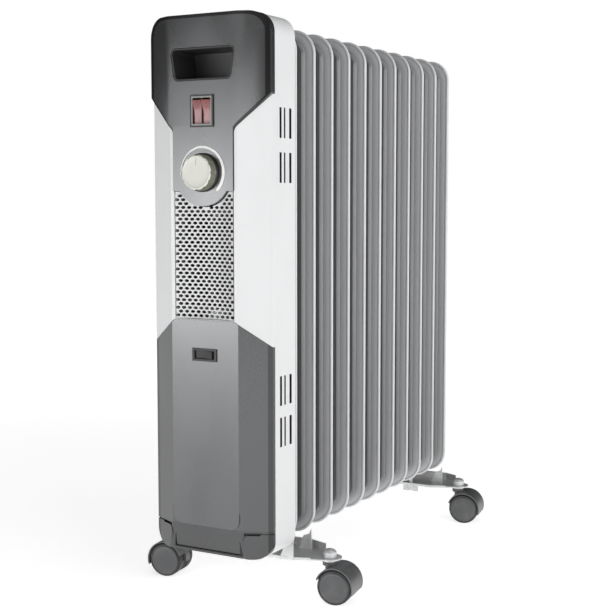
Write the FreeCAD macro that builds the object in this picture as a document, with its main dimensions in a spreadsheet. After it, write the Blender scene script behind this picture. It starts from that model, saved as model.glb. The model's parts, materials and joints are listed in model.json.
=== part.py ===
import FreeCAD, Part
import math
import os
import Sketcher
from FreeCAD import Placement, Rotation, Vector

# An eleven fin oil filled radiator with a fan heater behind the grille of its control housing.
# +Z is up, the control housing faces -Y, and the origin is on the floor under the middle.

DIMENSIONS = {
    # control housing, measured back from its flat centre column at y = front_y
    "front_y": -249.6,
    "housing_bottom": 62,
    "housing_top": 641.4,
    "housing_back": 63.5,
    "column_half": 42.5,
    "facet_half": 70,
    "facet_back": 13.7,
    "side_half": 75.6,
    "chamfer_back": 16.8,
    "top_corner": 21,
    "bottom_corner": 19,
    "wall": 2.5,
    "skin": 2.6,
    "joint_gap": 0.3,
    # outline of the dark panels seen from the front
    "waist_half": 38.5,
    "upper_waist_z": 520.4,
    "upper_edge_z": 551.2,
    "lower_waist_z": 318.7,
    "lower_edge_z": 295.9,
    "waist_round": 9,
    # proud upper panel
    "overlay_front": -1.6,
    "overlay_column": 43.6,
    "overlay_facet": 70.5,
    "overlay_facet_back": 9.8,
    "overlay_side": 76.2,
    "overlay_chamfer_back": 12.6,
    "overlay_back": 21.1,
    "overlay_top": 642,
    "overlay_corner": 21.6,
    # handle recess
    "grip_top_half": 41,
    "grip_bottom_half": 36,
    "grip_low": 573,
    "grip_high": 607.5,
    "grip_round": 6,
    "grip_depth": 44,
    "grip_wall": 2,
    # power switch
    "power_z": 540.7,
    "power_frame_width": 29,
    "power_frame_height": 34,
    "power_body_width": 25,
    "power_body_height": 30,
    "power_body_depth": 22,
    "rocker_width": 10.6,
    "rocker_middle": 5.75,
    "rocker_half": 12.4,
    "rocker_tilt": 8,
    "rocker_pin": 1,
    # fan switch
    "fan_switch_z": 281,
    "fan_frame_width": 31,
    "fan_frame_height": 14,
    "fan_body_width": 28,
    "fan_body_height": 11,
    "fan_rocker_width": 8.4,
    "fan_rocker_half": 11.4,
    # thermostat
    "dial_z": 475.9,
    "dial_boss": 36,
    "dial_outer": 28,
    "dial_inner": 25.2,
    "dial_shift": 1.9,
    "dial_thick": 0.6,
    "knob_base": 20.6,
    "knob_grip": 18.9,
    "knob_face": 18.2,
    "knob_length": 12.5,
    "knob_lift": 0.8,
    "shaft_radius": 3,
    # fan grille
    "grille_half": 37.6,
    "grille_shoulder": 456,
    "grille_thick": 1.4,
    "grille_hollow": 4.4,
    "grille_margin": 2.4,
    "grille_pitch_x": 7,
    "grille_pitch_z": 4.15,
    "grille_hole_x": 4.9,
    "grille_hole_z": 2.9,
    # fan heater
    "fan_axis_y": 35,
    "fan_low": 330,
    "fan_high": 436,
    "fan_radius": 14.5,
    "casing_half": 34,
    "casing_front": 16,
    "casing_back": 58,
    "casing_wall": 1,
    # fins
    "fin_first": 73.6,
    "fin_pitch": 41.83,
    "fin_half": 72,
    "fin_low": 66.4,
    "fin_high": 634.9,
    "fin_corner": 28,
    "fin_rim": 1.9,
    "fin_plate": 1.8,
    "relief_half": 60.5,
    "relief_end": 12,
    "relief_thick": 13,
    "relief_corner": 17,
    "relief_slope": 3,
    "sheet": 0.9,
    "groove_middle": 18,
    "groove_width": 11,
    "groove_end": 92,
    "groove_depth": 5.2,
    "header_low": 108.5,
    "header_high": 592.5,
    "header_bore": 20,
    "collar_radius": 25.5,
    # immersed heating elements
    "tube_radius": 4,
    "tube_offset": 8,
    "tube_length": 392,
    "flange_radius": 26,
    # shield behind the housing
    "shield_front": 58,
    "shield_thick": 1.2,
    "screw_x": 60,
    "screw_low": 84,
    "screw_high": 610,
    "screw_radius": 1.7,
    # feet
    "front_foot_y": 94.5,
    "rear_foot_y": 490,
    "rear_clamp_shift": -19,
    "front_stem_x": 102,
    "rear_stem_x": 93,
    "foot_z": 48,
    "foot_sheet": 1.6,
    "foot_half": 28,
    "foot_end": 14,
    "foot_neck": 64,
    "front_lip": 3,
    "rear_flange": 10,
    "rod_radius": 3,
    "nut_radius": 5.5,
    # casters
    "wheel_radius": 20,
    "wheel_width": 13,
    "wheel_offset": 5.5,
    "trail": 11,
    "web_half": 5,
    "hood_clear": 0.7,
    "hood_wall": 1.5,
    "hood_top": 44.3,
    "axle_radius": 3,
    "stem_radius": 4,
    "front_turn": 8,
    "rear_turn": 10,
    "fit_gap": 0.05,
    # cord gland
    "gland_y": 38,
    "gland_bore": 4.3,
    # tilt switch
    "tilt_x": 44,
    "tilt_y": 34,
    "tilt_z": 132,
}

doc = FreeCAD.newDocument("oil_radiator")
dims = doc.addObject("Spreadsheet::Sheet", "dims")
for row, (alias, value) in enumerate(DIMENSIONS.items(), start=1):
    dims.set(f"A{row}", alias)
    dims.set(f"B{row}", str(value))
    dims.setAlias(f"B{row}", alias)
doc.recompute()

nodes = []
ALONG = {"X": Rotation(Vector(0, 1, 0), 90), "Y": Rotation(Vector(1, 0, 0), -90), "Z": Rotation()}
FAR = 90


def measure(expression):
    """The value that an expression has with the sheet's present numbers."""
    return float(dims.evalExpression(expression))


def behind(depth):
    """The Y place of a point that lies depth behind the housing's front."""
    return f"dims.front_y + {depth}"


def bind(item, **sizes):
    for size, expression in sizes.items():
        item.setExpression(size, expression)
    return item


def place(item, x="0", y="0", z="0"):
    for letter, expression in zip("xyz", (x, y, z)):
        item.setExpression(f"Placement.Base.{letter}", expression)
    return item


def finished(item):
    """Registers an object as one of the sub-parts that are written out."""
    item.Label = item.Name
    nodes.append(item)
    return item


# Part primitives and booleans

def box(name, low, size):
    item = doc.addObject("Part::Box", name)
    bind(item, Length=size[0], Width=size[1], Height=size[2])
    return place(item, *low)


def cylinder(name, radius, length, start, along="Z"):
    item = doc.addObject("Part::Cylinder", name)
    item.Placement = Placement(Vector(), ALONG[along])
    bind(item, Radius=radius, Height=length)
    return place(item, *start)


def fuse(name, *shapes):
    item = doc.addObject("Part::MultiFuse", name)
    item.Shapes = list(shapes)
    return item


def cut(name, base, *tools):
    item = doc.addObject("Part::Cut", name)
    item.Base = base
    item.Tool = tools[0] if len(tools) == 1 else fuse(f"{name}_tools", *tools)
    return item


def common(name, first, second):
    item = doc.addObject("Part::Common", name)
    item.Base = first
    item.Tool = second
    return item


def group(name, shapes):
    item = doc.addObject("Part::Compound", name)
    item.Links = shapes
    return item


# sketches and the bodies made from them

def add_polygon(drawing, points):
    """A closed line through points whose coordinates are expressions, each bound to the sheet."""
    first = drawing.GeometryCount
    corners = [(measure(x), measure(y)) for x, y in points]
    for start, end in zip(corners, corners[1:] + corners[:1]):
        drawing.addGeometry(Part.LineSegment(Vector(*start, 0), Vector(*end, 0)), False)
    for index, (x, y) in enumerate(points):
        line = first + index
        following = first + (index + 1) % len(points)
        drawing.addConstraint(Sketcher.Constraint("Coincident", line, 2, following, 1))
        for kind, expression in (("DistanceX", x), ("DistanceY", y)):
            rule = Sketcher.Constraint(kind, -1, 1, line, 1, measure(expression))
            drawing.setExpression(f"Constraints[{drawing.addConstraint(rule)}]", expression)


def add_circle(drawing, x, y, radius):
    centre = Vector(measure(x), measure(y), 0)
    circle = drawing.addGeometry(Part.Circle(centre, Vector(0, 0, 1), measure(radius)), False)
    for kind, place_of, expression in (("DistanceX", centre.x, x), ("DistanceY", centre.y, y)):
        rule = Sketcher.Constraint(kind, -1, 1, circle, 3, place_of)
        drawing.setExpression(f"Constraints[{drawing.addConstraint(rule)}]", expression)
    rule = Sketcher.Constraint("Radius", circle, measure(radius))
    drawing.setExpression(f"Constraints[{drawing.addConstraint(rule)}]", radius)


def add_rounded(drawing, left, right, low, high, radius):
    """A rectangle with four equal round corners."""
    x0, x1, y0, y1, r = (measure(item) for item in (left, right, low, high, radius))
    first = drawing.GeometryCount
    ends = [((x0 + r, y0), (x1 - r, y0)), ((x1, y0 + r), (x1, y1 - r)),
            ((x1 - r, y1), (x0 + r, y1)), ((x0, y1 - r), (x0, y0 + r))]
    middles = [(x1 - r, y0 + r), (x1 - r, y1 - r), (x0 + r, y1 - r), (x0 + r, y0 + r)]
    for start, end in ends:
        drawing.addGeometry(Part.LineSegment(Vector(*start, 0), Vector(*end, 0)), False)
    for index, middle in enumerate(middles):
        round_corner = Part.Circle(Vector(*middle, 0), Vector(0, 0, 1), r)
        angle = math.radians(90 * index - 90)
        drawing.addGeometry(Part.ArcOfCircle(round_corner, angle, angle + math.pi / 2), False)
    for index in range(4):
        line = first + index
        arc = first + 4 + index
        following = first + (index + 1) % 4
        drawing.addConstraint(Sketcher.Constraint("Tangent", line, 2, arc, 1))
        drawing.addConstraint(Sketcher.Constraint("Tangent", arc, 2, following, 1))
        drawing.addConstraint(Sketcher.Constraint("Vertical" if index % 2 else "Horizontal", line))
        if index:
            drawing.addConstraint(Sketcher.Constraint("Equal", first + 4, arc))
    sizes = (("DistanceY", first, low), ("DistanceX", first + 1, right),
             ("DistanceY", first + 2, high), ("DistanceX", first + 3, left))
    for kind, line, expression in sizes:
        rule = Sketcher.Constraint(kind, -1, 1, line, 1, measure(expression))
        drawing.setExpression(f"Constraints[{drawing.addConstraint(rule)}]", expression)
    rule = Sketcher.Constraint("Radius", first + 4, r)
    drawing.setExpression(f"Constraints[{drawing.addConstraint(rule)}]", radius)


def body(name):
    return doc.addObject("PartDesign::Body", name)


def sketch(owner, role, lift="0"):
    """An empty sketch on one of the body's origin planes, lifted along that plane's normal."""
    drawing = owner.newObject("Sketcher::SketchObject", f"{owner.Name}_sketch")
    planes = [feature for feature in owner.Origin.OriginFeatures if feature.Role == role]
    drawing.AttachmentSupport = [(planes[0], "")]
    drawing.MapMode = "FlatFace"
    drawing.setExpression("AttachmentOffset.Base.z", lift)
    return drawing


def pad(owner, drawing, length, backwards=False, midplane=False):
    item = owner.newObject("PartDesign::Pad", f"{owner.Name}_pad")
    item.Profile = drawing
    item.Reversed = backwards
    item.Midplane = midplane
    bind(item, Length=length)
    owner.Tip = item
    return item


def outlines(drawing, loops):
    """Adds each loop: a list of points, ("circle", x, y, radius) or ("rounded", left, right, ...)."""
    for loop in loops:
        if loop[0] == "circle":
            add_circle(drawing, *loop[1:])
        elif loop[0] == "rounded":
            add_rounded(drawing, *loop[1:])
        else:
            add_polygon(drawing, loop)


def prism_y(name, loops, near, depth):
    """A front view outline (x, z) that runs from near towards +Y."""
    owner = body(name)
    drawing = sketch(owner, "XZ_Plane", f"-({near})")
    outlines(drawing, loops)
    pad(owner, drawing, depth, backwards=True)
    return owner


def prism_z(name, loops, low, height):
    """A plan outline (x, y) that runs from low upwards."""
    owner = body(name)
    drawing = sketch(owner, "XY_Plane", low)
    outlines(drawing, loops)
    pad(owner, drawing, height)
    return owner


def prism_x(name, loops, width):
    """A side view outline (y, z) with its width shared evenly about x = 0."""
    owner = body(name)
    drawing = sketch(owner, "YZ_Plane")
    outlines(drawing, loops)
    pad(owner, drawing, width, midplane=True)
    return owner


def turned(name, points, along="Z"):
    """A body of revolution: points are (radius, height) and height runs along the named axis."""
    owner = body(name)
    drawing = sketch(owner, {"Z": "XZ_Plane", "Y": "XY_Plane"}[along])
    add_polygon(drawing, points)
    item = owner.newObject("PartDesign::Revolution", f"{name}_turn")
    item.Profile = drawing
    item.ReferenceAxis = (drawing, ["V_Axis"])
    item.Angle = 360
    owner.Tip = item
    return owner


def edges_where(shape, wanted):
    return [f"Edge{number}" for number, edge in enumerate(shape.Edges, start=1) if wanted(edge)]


def soften(owner, kind, size, wanted):
    """Fillets or chamfers the edges that the test picks on the body's present tip."""
    doc.recompute()
    before = owner.Tip
    names = edges_where(before.Shape, wanted)
    item = owner.newObject(f"PartDesign::{kind}", f"{owner.Name}_{kind.lower()}")
    item.Base = (before, names)
    bind(item, **{"Radius" if kind == "Fillet" else "Size": size})
    owner.Tip = item
    return owner


def edge_at(x=None, y=None, z=None, tolerance=0.05):
    """A test for an edge that lies wholly at the given coordinates."""
    def wanted(edge):
        bounds = edge.BoundBox
        limits = ((x, bounds.XMin, bounds.XMax), (y, bounds.YMin, bounds.YMax),
                  (z, bounds.ZMin, bounds.ZMax))
        return all(at is None or (abs(low - at) < tolerance and abs(high - at) < tolerance)
                   for at, low, high in limits)
    return wanted


def any_of(*tests):
    return lambda edge: any(test(edge) for test in tests)


def mirrored(points):
    """Completes a right hand outline with its mirror image in x = 0."""
    return points + [(f"-({x})", y) for x, y in reversed(points)]


# housing blocks: the faceted plan and the rounded front view, each cut to the other

facet_angle = math.atan2(measure("dims.facet_back"), measure("dims.facet_half - dims.column_half"))
chamfer_angle = math.atan2(measure("dims.chamfer_back - dims.facet_back"),
                           measure("dims.side_half - dims.facet_half"))
column_shift = math.tan(facet_angle / 2)
mean_angle = (facet_angle + chamfer_angle) / 2
facet_shift = math.sin(mean_angle)
facet_drop = math.cos(mean_angle)
side_drop = math.tan(math.pi / 4 - chamfer_angle / 2)


def block(name, plan, left, low, high, low_round, high_round):
    """A plan outline made a full height block and rounded at its four corners in front view."""
    tower = prism_z(f"{name}_plan", [plan], "0", "700")
    front = prism_y(f"{name}_front", [mirrored([(left, low), (left, high)])], behind("-20"), "120")
    half = measure(left)
    sides = any_of(edge_at(x=half, z=measure(low)), edge_at(x=-half, z=measure(low)))
    soften(front, "Fillet", low_round, sides)
    tops = any_of(edge_at(x=half, z=measure(high)), edge_at(x=-half, z=measure(high)))
    soften(front, "Fillet", high_round, tops)
    return common(name, tower, front)


def housing_block(name, inset):
    """The housing's outer form moved inwards by inset on every side but the back."""
    right = [
        (f"dims.column_half - {column_shift} * ({inset})", behind(inset)),
        (f"dims.facet_half - {facet_shift} * ({inset})",
         behind(f"dims.facet_back + {facet_drop} * ({inset})")),
        (f"dims.side_half - ({inset})", behind(f"dims.chamfer_back + {side_drop} * ({inset})")),
        (f"dims.side_half - ({inset})", behind("dims.housing_back")),
    ]
    return block(name, mirrored(right), f"dims.side_half - ({inset})",
                 f"dims.housing_bottom + ({inset})", f"dims.housing_top - ({inset})",
                 f"dims.bottom_corner - ({inset})", f"dims.top_corner - ({inset})")


def panel_region(name, high, gap):
    """The front view outline of the upper or lower dark panel, less a gap at its edges."""
    slope = "(dims.{0}_edge_z - dims.{0}_waist_z) / (dims.facet_half - dims.waist_half)"
    side = "upper" if high else "lower"
    sign = "+" if high else "-"
    waist = f"dims.waist_half - ({gap})"
    waist_z = f"dims.{side}_waist_z {sign} ({gap})"
    edge_z = f"{waist_z} + ({FAR} - dims.waist_half) * {slope.format(side)}"
    points = [(str(FAR), "690" if high else "20"), (str(FAR), edge_z), (waist, waist_z)]
    if high:
        points.append((waist, f"dims.grille_shoulder + ({gap})"))
    region = prism_y(name, [mirrored(points)], behind("-20"), f"20 + dims.overlay_back - ({gap})")
    half = measure(waist)
    at_waist = measure(waist_z)
    corners = any_of(edge_at(x=half, z=at_waist), edge_at(x=-half, z=at_waist))
    return soften(region, "Fillet", "dims.waist_round", corners)


def upper_region(name, gap):
    """The upper panel's outline with its round boss about the dial."""
    boss = cylinder(f"{name}_boss", f"dims.dial_boss - ({gap})", f"20 + dims.overlay_back - ({gap})",
                    ("0", behind("-20"), "dims.dial_z"), "Y")
    return fuse(name, panel_region(f"{name}_sheet", True, gap), boss)


def grip_outline(name, grow, near, depth):
    """The handle recess seen from the front: wider at the top, with rounded corners."""
    points = [(f"dims.grip_bottom_half + ({grow})", f"dims.grip_low - ({grow})"),
              (f"dims.grip_top_half + ({grow})", f"dims.grip_high + ({grow})")]
    outline = prism_y(name, [mirrored(points)], behind(near), depth)
    corners = [edge_at(x=side * measure(x), z=measure(z)) for x, z in points for side in (1, -1)]
    return soften(outline, "Fillet", f"dims.grip_round + ({grow})", any_of(*corners))


# front cover: the light shell that carries both panels, the grille and the switches

outer_block = housing_block("outer_block", "0")
seat_block = housing_block("seat_block", "dims.skin")
panel_back = housing_block("panel_back", "dims.wall")
hollow = housing_block("hollow", "dims.skin + dims.wall")
rear_hollow = prism_y("rear_hollow", [("rounded", "-(dims.side_half - dims.wall)",
                                       "dims.side_half - dims.wall",
                                       "dims.housing_bottom + dims.wall",
                                       "dims.housing_top - dims.wall", "dims.bottom_corner - dims.wall")],
                      behind("dims.overlay_back + 3"), "60")
upper_seat = cut("upper_seat", upper_region("upper_outline", "0"), seat_block)
lower_seat = cut("lower_seat", panel_region("lower_outline", False, "0"), seat_block)

window_half = "dims.waist_half - 0.6"
grille_window = box("grille_window", (f"-({window_half})", behind("-5"), "dims.lower_waist_z + 0.4"),
                    (f"2 * ({window_half})", "30", "dims.grille_shoulder - dims.lower_waist_z - 0.4"))
power_window = box("power_window", ("-dims.power_body_width / 2 - 0.2", behind("-5"),
                                    "dims.power_z - dims.power_body_height / 2 - 0.2"),
                   ("dims.power_body_width + 0.4", "30", "dims.power_body_height + 0.4"))
fan_window = box("fan_window", ("-dims.fan_body_width / 2 - 0.2", behind("-5"),
                                "dims.fan_switch_z - dims.fan_body_height / 2 - 0.2"),
                 ("dims.fan_body_width + 0.4", "30", "dims.fan_body_height + 0.4"))
dial_window = cylinder("dial_window", "5.3", "30", ("0", behind("-5"), "dims.dial_z"), "Y")
gland_window = cylinder("gland_window", "8.2", "12",
                        ("0", behind("dims.gland_y"), "dims.housing_bottom - 4"))
toe_window = box("toe_window", ("-42", behind("-5"), "dims.housing_bottom + 4"), ("84", "30", "32.4"))

SLOTS = ((33, 4.2), (41.5, 3), (53.4, 4.8))  # distance behind the front face and width
SLOT_MIDDLES = (528, 481, 243, 198)
side_slots = [box(f"side_slot_{middle}_{number}",
                  (f"-{FAR}", behind(f"{back} - {width / 2}"), f"{middle} - 16"),
                  (f"2 * {FAR}", f"{width}", "32"))
              for middle in SLOT_MIDDLES for number, (back, width) in enumerate(SLOTS)]

SCREWS = [(side, level) for side in (1, -1) for level in ("dims.screw_low", "dims.screw_high")]
bosses = [cylinder(f"boss_{number}", "4", "dims.shield_front - 14",
                   (f"{side} * dims.screw_x", behind("14"), level), "Y")
          for number, (side, level) in enumerate(SCREWS)]
boss_holes = [cylinder(f"boss_hole_{number}", "dims.screw_radius + dims.fit_gap", "20",
                       (f"{side} * dims.screw_x", behind("dims.shield_front - 16"), level), "Y")
              for number, (side, level) in enumerate(SCREWS)]
shell = cut("cover_shell", outer_block, upper_seat, lower_seat, hollow, rear_hollow)
bossed_shell = fuse("bossed_shell", shell, *bosses)
front_cover = finished(cut("front_cover", bossed_shell, grille_window, power_window, fan_window,
                           dial_window, gland_window, toe_window,
                           grip_outline("grip_window", "0.3", "-5", "40"), *side_slots, *boss_holes))

# upper panel: the proud dark cap with the handle recess, switch and dial

overlay_plan = mirrored([
    ("dims.overlay_column", behind("dims.overlay_front")),
    ("dims.overlay_facet", behind("dims.overlay_facet_back")),
    ("dims.overlay_side", behind("dims.overlay_chamfer_back")),
    ("dims.overlay_side", behind("dims.housing_back")),
])
overlay_block = block("overlay_block", overlay_plan, "dims.overlay_side", "dims.housing_bottom",
                      "dims.overlay_top", "dims.bottom_corner", "dims.overlay_corner")
upper_outer = common("upper_outer", overlay_block, upper_region("upper_form", "dims.joint_gap"))
upper_panel = finished(cut("upper_panel", upper_outer, panel_back,
                           grip_outline("grip_mouth", "0.2", "-5", "40"), power_window, dial_window))

handle_cup = finished(cut("handle_cup",
                          grip_outline("cup_outer", "0", "-1.2", "dims.grip_depth + 1.2"),
                          grip_outline("cup_inner", "-dims.grip_wall", "-3",
                                       "dims.grip_depth + 3 - dims.grip_wall")))

# lower panel: flush dark shell with a raised centre pad and two round cornered cord cleats

pad_outline = prism_y("pad_outline", [("rounded", "-dims.column_half", "dims.column_half", "93", "330",
                                       "11")], behind("-10"), "40")
toe_slant = prism_x("toe_slant", [[(behind("-8"), "112"), (behind("1.1"), "112"), (behind("1.3"), "93"),
                                   (behind("4.6"), "60"), (behind("-8"), "60")]], "160")
toe_cut = cut("toe_cut", toe_slant, pad_outline)
toe_backing = box("toe_backing", ("-41.6", behind("2"), "dims.housing_bottom + 4.4"), ("83.2", "5.2", "31.6"))
cleat_blocks = []
for side, letter in ((1, "right"), (-1, "left")):
    near_edge = 45 if side > 0 else -95
    ring = prism_y(f"cleat_{letter}", [("rounded", f"{near_edge}", f"{near_edge} + 50", "40", "91", "10"),
                                       ("rounded", f"{near_edge} + 1.6", f"{near_edge} + 48.4",
                                        "41.6", "89.4", "8.4")], behind("-5"), "60")
    groove_floor = housing_block(f"cleat_floor_{letter}", "1.3")
    cleat_blocks.append(cut(f"cleat_groove_{letter}", ring, groove_floor))
    cleat_blocks.append(box(f"cleat_slot_{letter}", (f"{side} * 55 - 8", behind("-5"), "88"),
                            ("16", "30", "3")))
lower_form = common("lower_form", outer_block, panel_region("lower_inner", False, "dims.joint_gap"))
lower_skin = cut("lower_skin", lower_form, panel_back)
lower_panel = finished(cut("lower_panel", fuse("lower_backed", lower_skin, toe_backing), toe_cut,
                           fan_window, *cleat_blocks))

# fan grille: a sheet hollowed in plan and pierced with staggered holes

hollow_radius = measure("(dims.grille_half^2 + dims.grille_hollow^2) / (2 * dims.grille_hollow)")
grille_low = "dims.lower_waist_z + 0.8"
grille_outline = prism_y("grille_outline",
                         [mirrored([("dims.grille_half", grille_low),
                                    ("dims.grille_half", "dims.grille_shoulder - 0.3")])],
                         behind("-2"), "12")
arc_y = behind(f"dims.grille_hollow - {hollow_radius}")
grille_face = cylinder("grille_face", f"{hollow_radius}", "200", ("0", arc_y, "300"))
grille_back = cylinder("grille_back", f"{hollow_radius} + dims.grille_thick", "200", ("0", arc_y, "300"))
grille_boss = cylinder("grille_boss", "dims.dial_boss + 0.5", "30", ("0", behind("-5"), "dims.dial_z"), "Y")
grille_bend = cut("grille_bend", grille_back, grille_face)
grille_sheet = cut("grille_sheet", common("grille_blank", grille_bend, grille_outline), grille_boss)


def grille_holes():
    """One flat face per hole, staggered row by row, clear of the sheet's edges and the dial boss."""
    half = measure("dims.grille_half - dims.grille_margin - dims.grille_hole_x / 2")
    low = measure(f"{grille_low} + dims.grille_margin")
    high = measure("dims.grille_shoulder - dims.grille_margin")
    pitch_x, pitch_z = measure("dims.grille_pitch_x"), measure("dims.grille_pitch_z")
    hole_x, hole_z = measure("dims.grille_hole_x / 2"), measure("dims.grille_hole_z / 2")
    clear = measure("dims.dial_boss + dims.grille_margin")
    near = measure(behind("-6"))
    faces = []
    for line in range(int((high - low) / pitch_z) + 1):
        z = low + line * pitch_z
        count = int(half / pitch_x)
        shift = pitch_x / 2 if line % 2 else 0
        for column in range(-count - 1, count + 1):
            x = column * pitch_x + shift
            if abs(x) > half or math.hypot(x, z - measure("dims.dial_z")) < clear:
                continue
            corners = [Vector(x - hole_x, near, z), Vector(x, near, z + hole_z),
                       Vector(x + hole_x, near, z), Vector(x, near, z - hole_z)]
            faces.append(Part.Face(Part.makePolygon(corners + corners[:1])))
    return Part.makeCompound([face.extrude(Vector(0, 20, 0)) for face in faces])


hole_set = doc.addObject("Part::Feature", "hole_set")
hole_set.Shape = grille_holes()
fan_grille = finished(cut("fan_grille", grille_sheet, hole_set))

# dial: wedge shaped scale, knob, shaft and thermostat

scale_y = behind("dims.overlay_front - dims.dial_thick")
scale_disc = cylinder("scale_disc", "dims.dial_outer", "dims.dial_thick", ("0", scale_y, "dims.dial_z"), "Y")
scale_hole = cylinder("scale_hole", "dims.dial_inner", "4",
                      ("-dims.dial_shift * 0.6", behind("-4"), "dims.dial_z + dims.dial_shift"), "Y")
scale_mouth = prism_y("scale_mouth", [[("0", "dims.dial_z"), ("30", "dims.dial_z - 30"),
                                       ("0", "dims.dial_z - 45"), ("-40", "dims.dial_z - 40"),
                                       ("-40", "dims.dial_z + 7")]], behind("-6"), "8")
dial_scale = finished(cut("dial_scale", scale_disc, scale_hole, scale_mouth))

KNOB_LOBES = 12
knob_form = turned("knob_form", [
    ("0", "0"), ("dims.knob_base", "0"), ("dims.knob_base", "-2.4"), ("dims.knob_grip + 0.8", "-4.6"),
    ("dims.knob_grip", "-6.5"), ("dims.knob_face + 0.6", "-dims.knob_length + 1.4"),
    ("dims.knob_face - 0.8", "-dims.knob_length"), ("0", "-dims.knob_length")], "Y")
flute_sketch = sketch(knob_form, "XZ_Plane", "5.2")
add_circle(flute_sketch, "0", "dims.knob_grip + 5.1", "6")
flute = knob_form.newObject("PartDesign::Pocket", "knob_flute")
flute.Profile = flute_sketch
flute.Type = "ThroughAll"
flute.Reversed = True
knob_form.Tip = flute
flutes = knob_form.newObject("PartDesign::PolarPattern", "knob_flutes")
flutes.Originals = [flute]
flutes.Axis = (flute_sketch, ["N_Axis"])
flutes.Angle = 360
flutes.Occurrences = KNOB_LOBES
knob_form.Tip = flutes
place(knob_form, "0", behind("dims.overlay_front - dims.knob_lift"), "dims.dial_z")
knob_bore = cylinder("knob_bore", "dims.shaft_radius + 0.02", "9.5",
                     ("0", behind("dims.overlay_front - dims.knob_lift - 9.5"), "dims.dial_z"), "Y")
pointer_groove = box("pointer_groove",
                     ("-0.8", behind("dims.overlay_front - dims.knob_lift - dims.knob_length - 1"),
                      "dims.dial_z + 7"), ("1.6", "1.7", "14"))
knob = finished(cut("knob", knob_form, knob_bore, pointer_groove))
thermostat_shaft = finished(cylinder("thermostat_shaft", "dims.shaft_radius", "23.5",
                                     ("0", behind("-11"), "dims.dial_z"), "Y"))
thermostat_case = box("thermostat_case", ("-17", behind("5.4"), "dims.dial_z - 15"), ("34", "24", "30"))
thermostat_bush = cylinder("thermostat_bush", "5", "8", ("0", behind("-2"), "dims.dial_z"), "Y")
thermostat_hole = cylinder("thermostat_hole", "dims.shaft_radius + dims.fit_gap", "20",
                           ("0", behind("-5"), "dims.dial_z"), "Y")
thermostat_tab = box("thermostat_tab", ("-3", behind("29.4"), "dims.dial_z - 8"), ("6", "7", "0.8"))
thermostat_body = finished(cut("thermostat_body",
                               fuse("thermostat_blank", thermostat_case, thermostat_bush, thermostat_tab),
                               thermostat_hole))


# rocker switches

def rocker(name, half, width, tilt, turned_flat):
    """A rocker with a hollowed face and two pivot pins, tilted about its pins at rest."""
    owner = body(name)
    drawing = sketch(owner, "YZ_Plane")
    add_polygon(drawing, [("-6", f"-({half})"), ("-4.5", "0"), ("-6", half), ("2.4", f"{half} - 1.4"),
                          ("4.6", "4"), ("4.6", "-4"), ("2.4", f"1.4 - ({half})")])
    pad(owner, drawing, width, midplane=True)
    pins = sketch(owner, "YZ_Plane")
    add_circle(pins, "0", "0", "dims.rocker_pin")
    pad(owner, pins, f"{width} + 0.7", midplane=True)
    lean = Rotation(Vector(1, 0, 0), measure(tilt))
    quarter = Rotation(Vector(0, 1, 0), 90) if turned_flat else Rotation()
    owner.Placement = Placement(Vector(), quarter.multiply(lean))
    return owner


PIVOT_DEPTH = 5
power_low = "dims.power_z - dims.power_frame_height / 2"
bezel_face = behind("dims.overlay_front - 1.6")
power_bezel = box("power_bezel", ("-dims.power_frame_width / 2", bezel_face, power_low),
                  ("dims.power_frame_width", "1.6", "dims.power_frame_height"))
power_box = box("power_box", ("-dims.power_body_width / 2", behind("dims.overlay_front"),
                              "dims.power_z - dims.power_body_height / 2"),
                ("dims.power_body_width", "dims.power_body_depth", "dims.power_body_height"))
wells = [box(f"power_well_{side}",
             (f"{side} * dims.rocker_middle - dims.rocker_width / 2 - 0.25", behind("-8"),
              "dims.power_z - 13.6"), ("dims.rocker_width + 0.5", "20", "27.2"))
         for side in (-1, 1)]
pivot_y = behind(f"dims.overlay_front + {PIVOT_DEPTH}")
power_pivot = cylinder("power_pivot", "dims.rocker_pin + dims.fit_gap", "24",
                       ("-12", pivot_y, "dims.power_z"), "X")
power_switch_frame = finished(cut("power_switch_frame", fuse("power_blank", power_bezel, power_box),
                                  *wells, power_pivot))
for side, letter in ((-1, "left"), (1, "right")):
    lever = rocker(f"power_rocker_{letter}", "dims.rocker_half", "dims.rocker_width",
                   "dims.rocker_tilt", False)
    finished(place(lever, f"{side} * dims.rocker_middle", pivot_y, "dims.power_z"))

fan_bezel = box("fan_bezel", ("-dims.fan_frame_width / 2", behind("-1.4"),
                              "dims.fan_switch_z - dims.fan_frame_height / 2"),
                ("dims.fan_frame_width", "1.4", "dims.fan_frame_height"))
fan_box = box("fan_box", ("-dims.fan_body_width / 2", behind("0"),
                          "dims.fan_switch_z - dims.fan_body_height / 2"),
              ("dims.fan_body_width", "18", "dims.fan_body_height"))
fan_well = box("fan_well", ("-12.6", behind("-8"), "dims.fan_switch_z - dims.fan_rocker_width / 2 - 0.3"),
               ("25.2", "20", "dims.fan_rocker_width + 0.6"))
fan_pivot = cylinder("fan_pivot", "dims.rocker_pin + dims.fit_gap", "10",
                     ("0", behind("5"), "dims.fan_switch_z - 5"))
fan_switch_frame = finished(cut("fan_switch_frame", fuse("fan_blank", fan_bezel, fan_box),
                                fan_well, fan_pivot))
fan_rocker = rocker("fan_rocker", "dims.fan_rocker_half", "dims.fan_rocker_width", "dims.rocker_tilt", True)
finished(place(fan_rocker, "0", behind("5"), "dims.fan_switch_z"))

# fan heater behind the grille: casing, cross flow wheel, motor and wire heater

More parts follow.
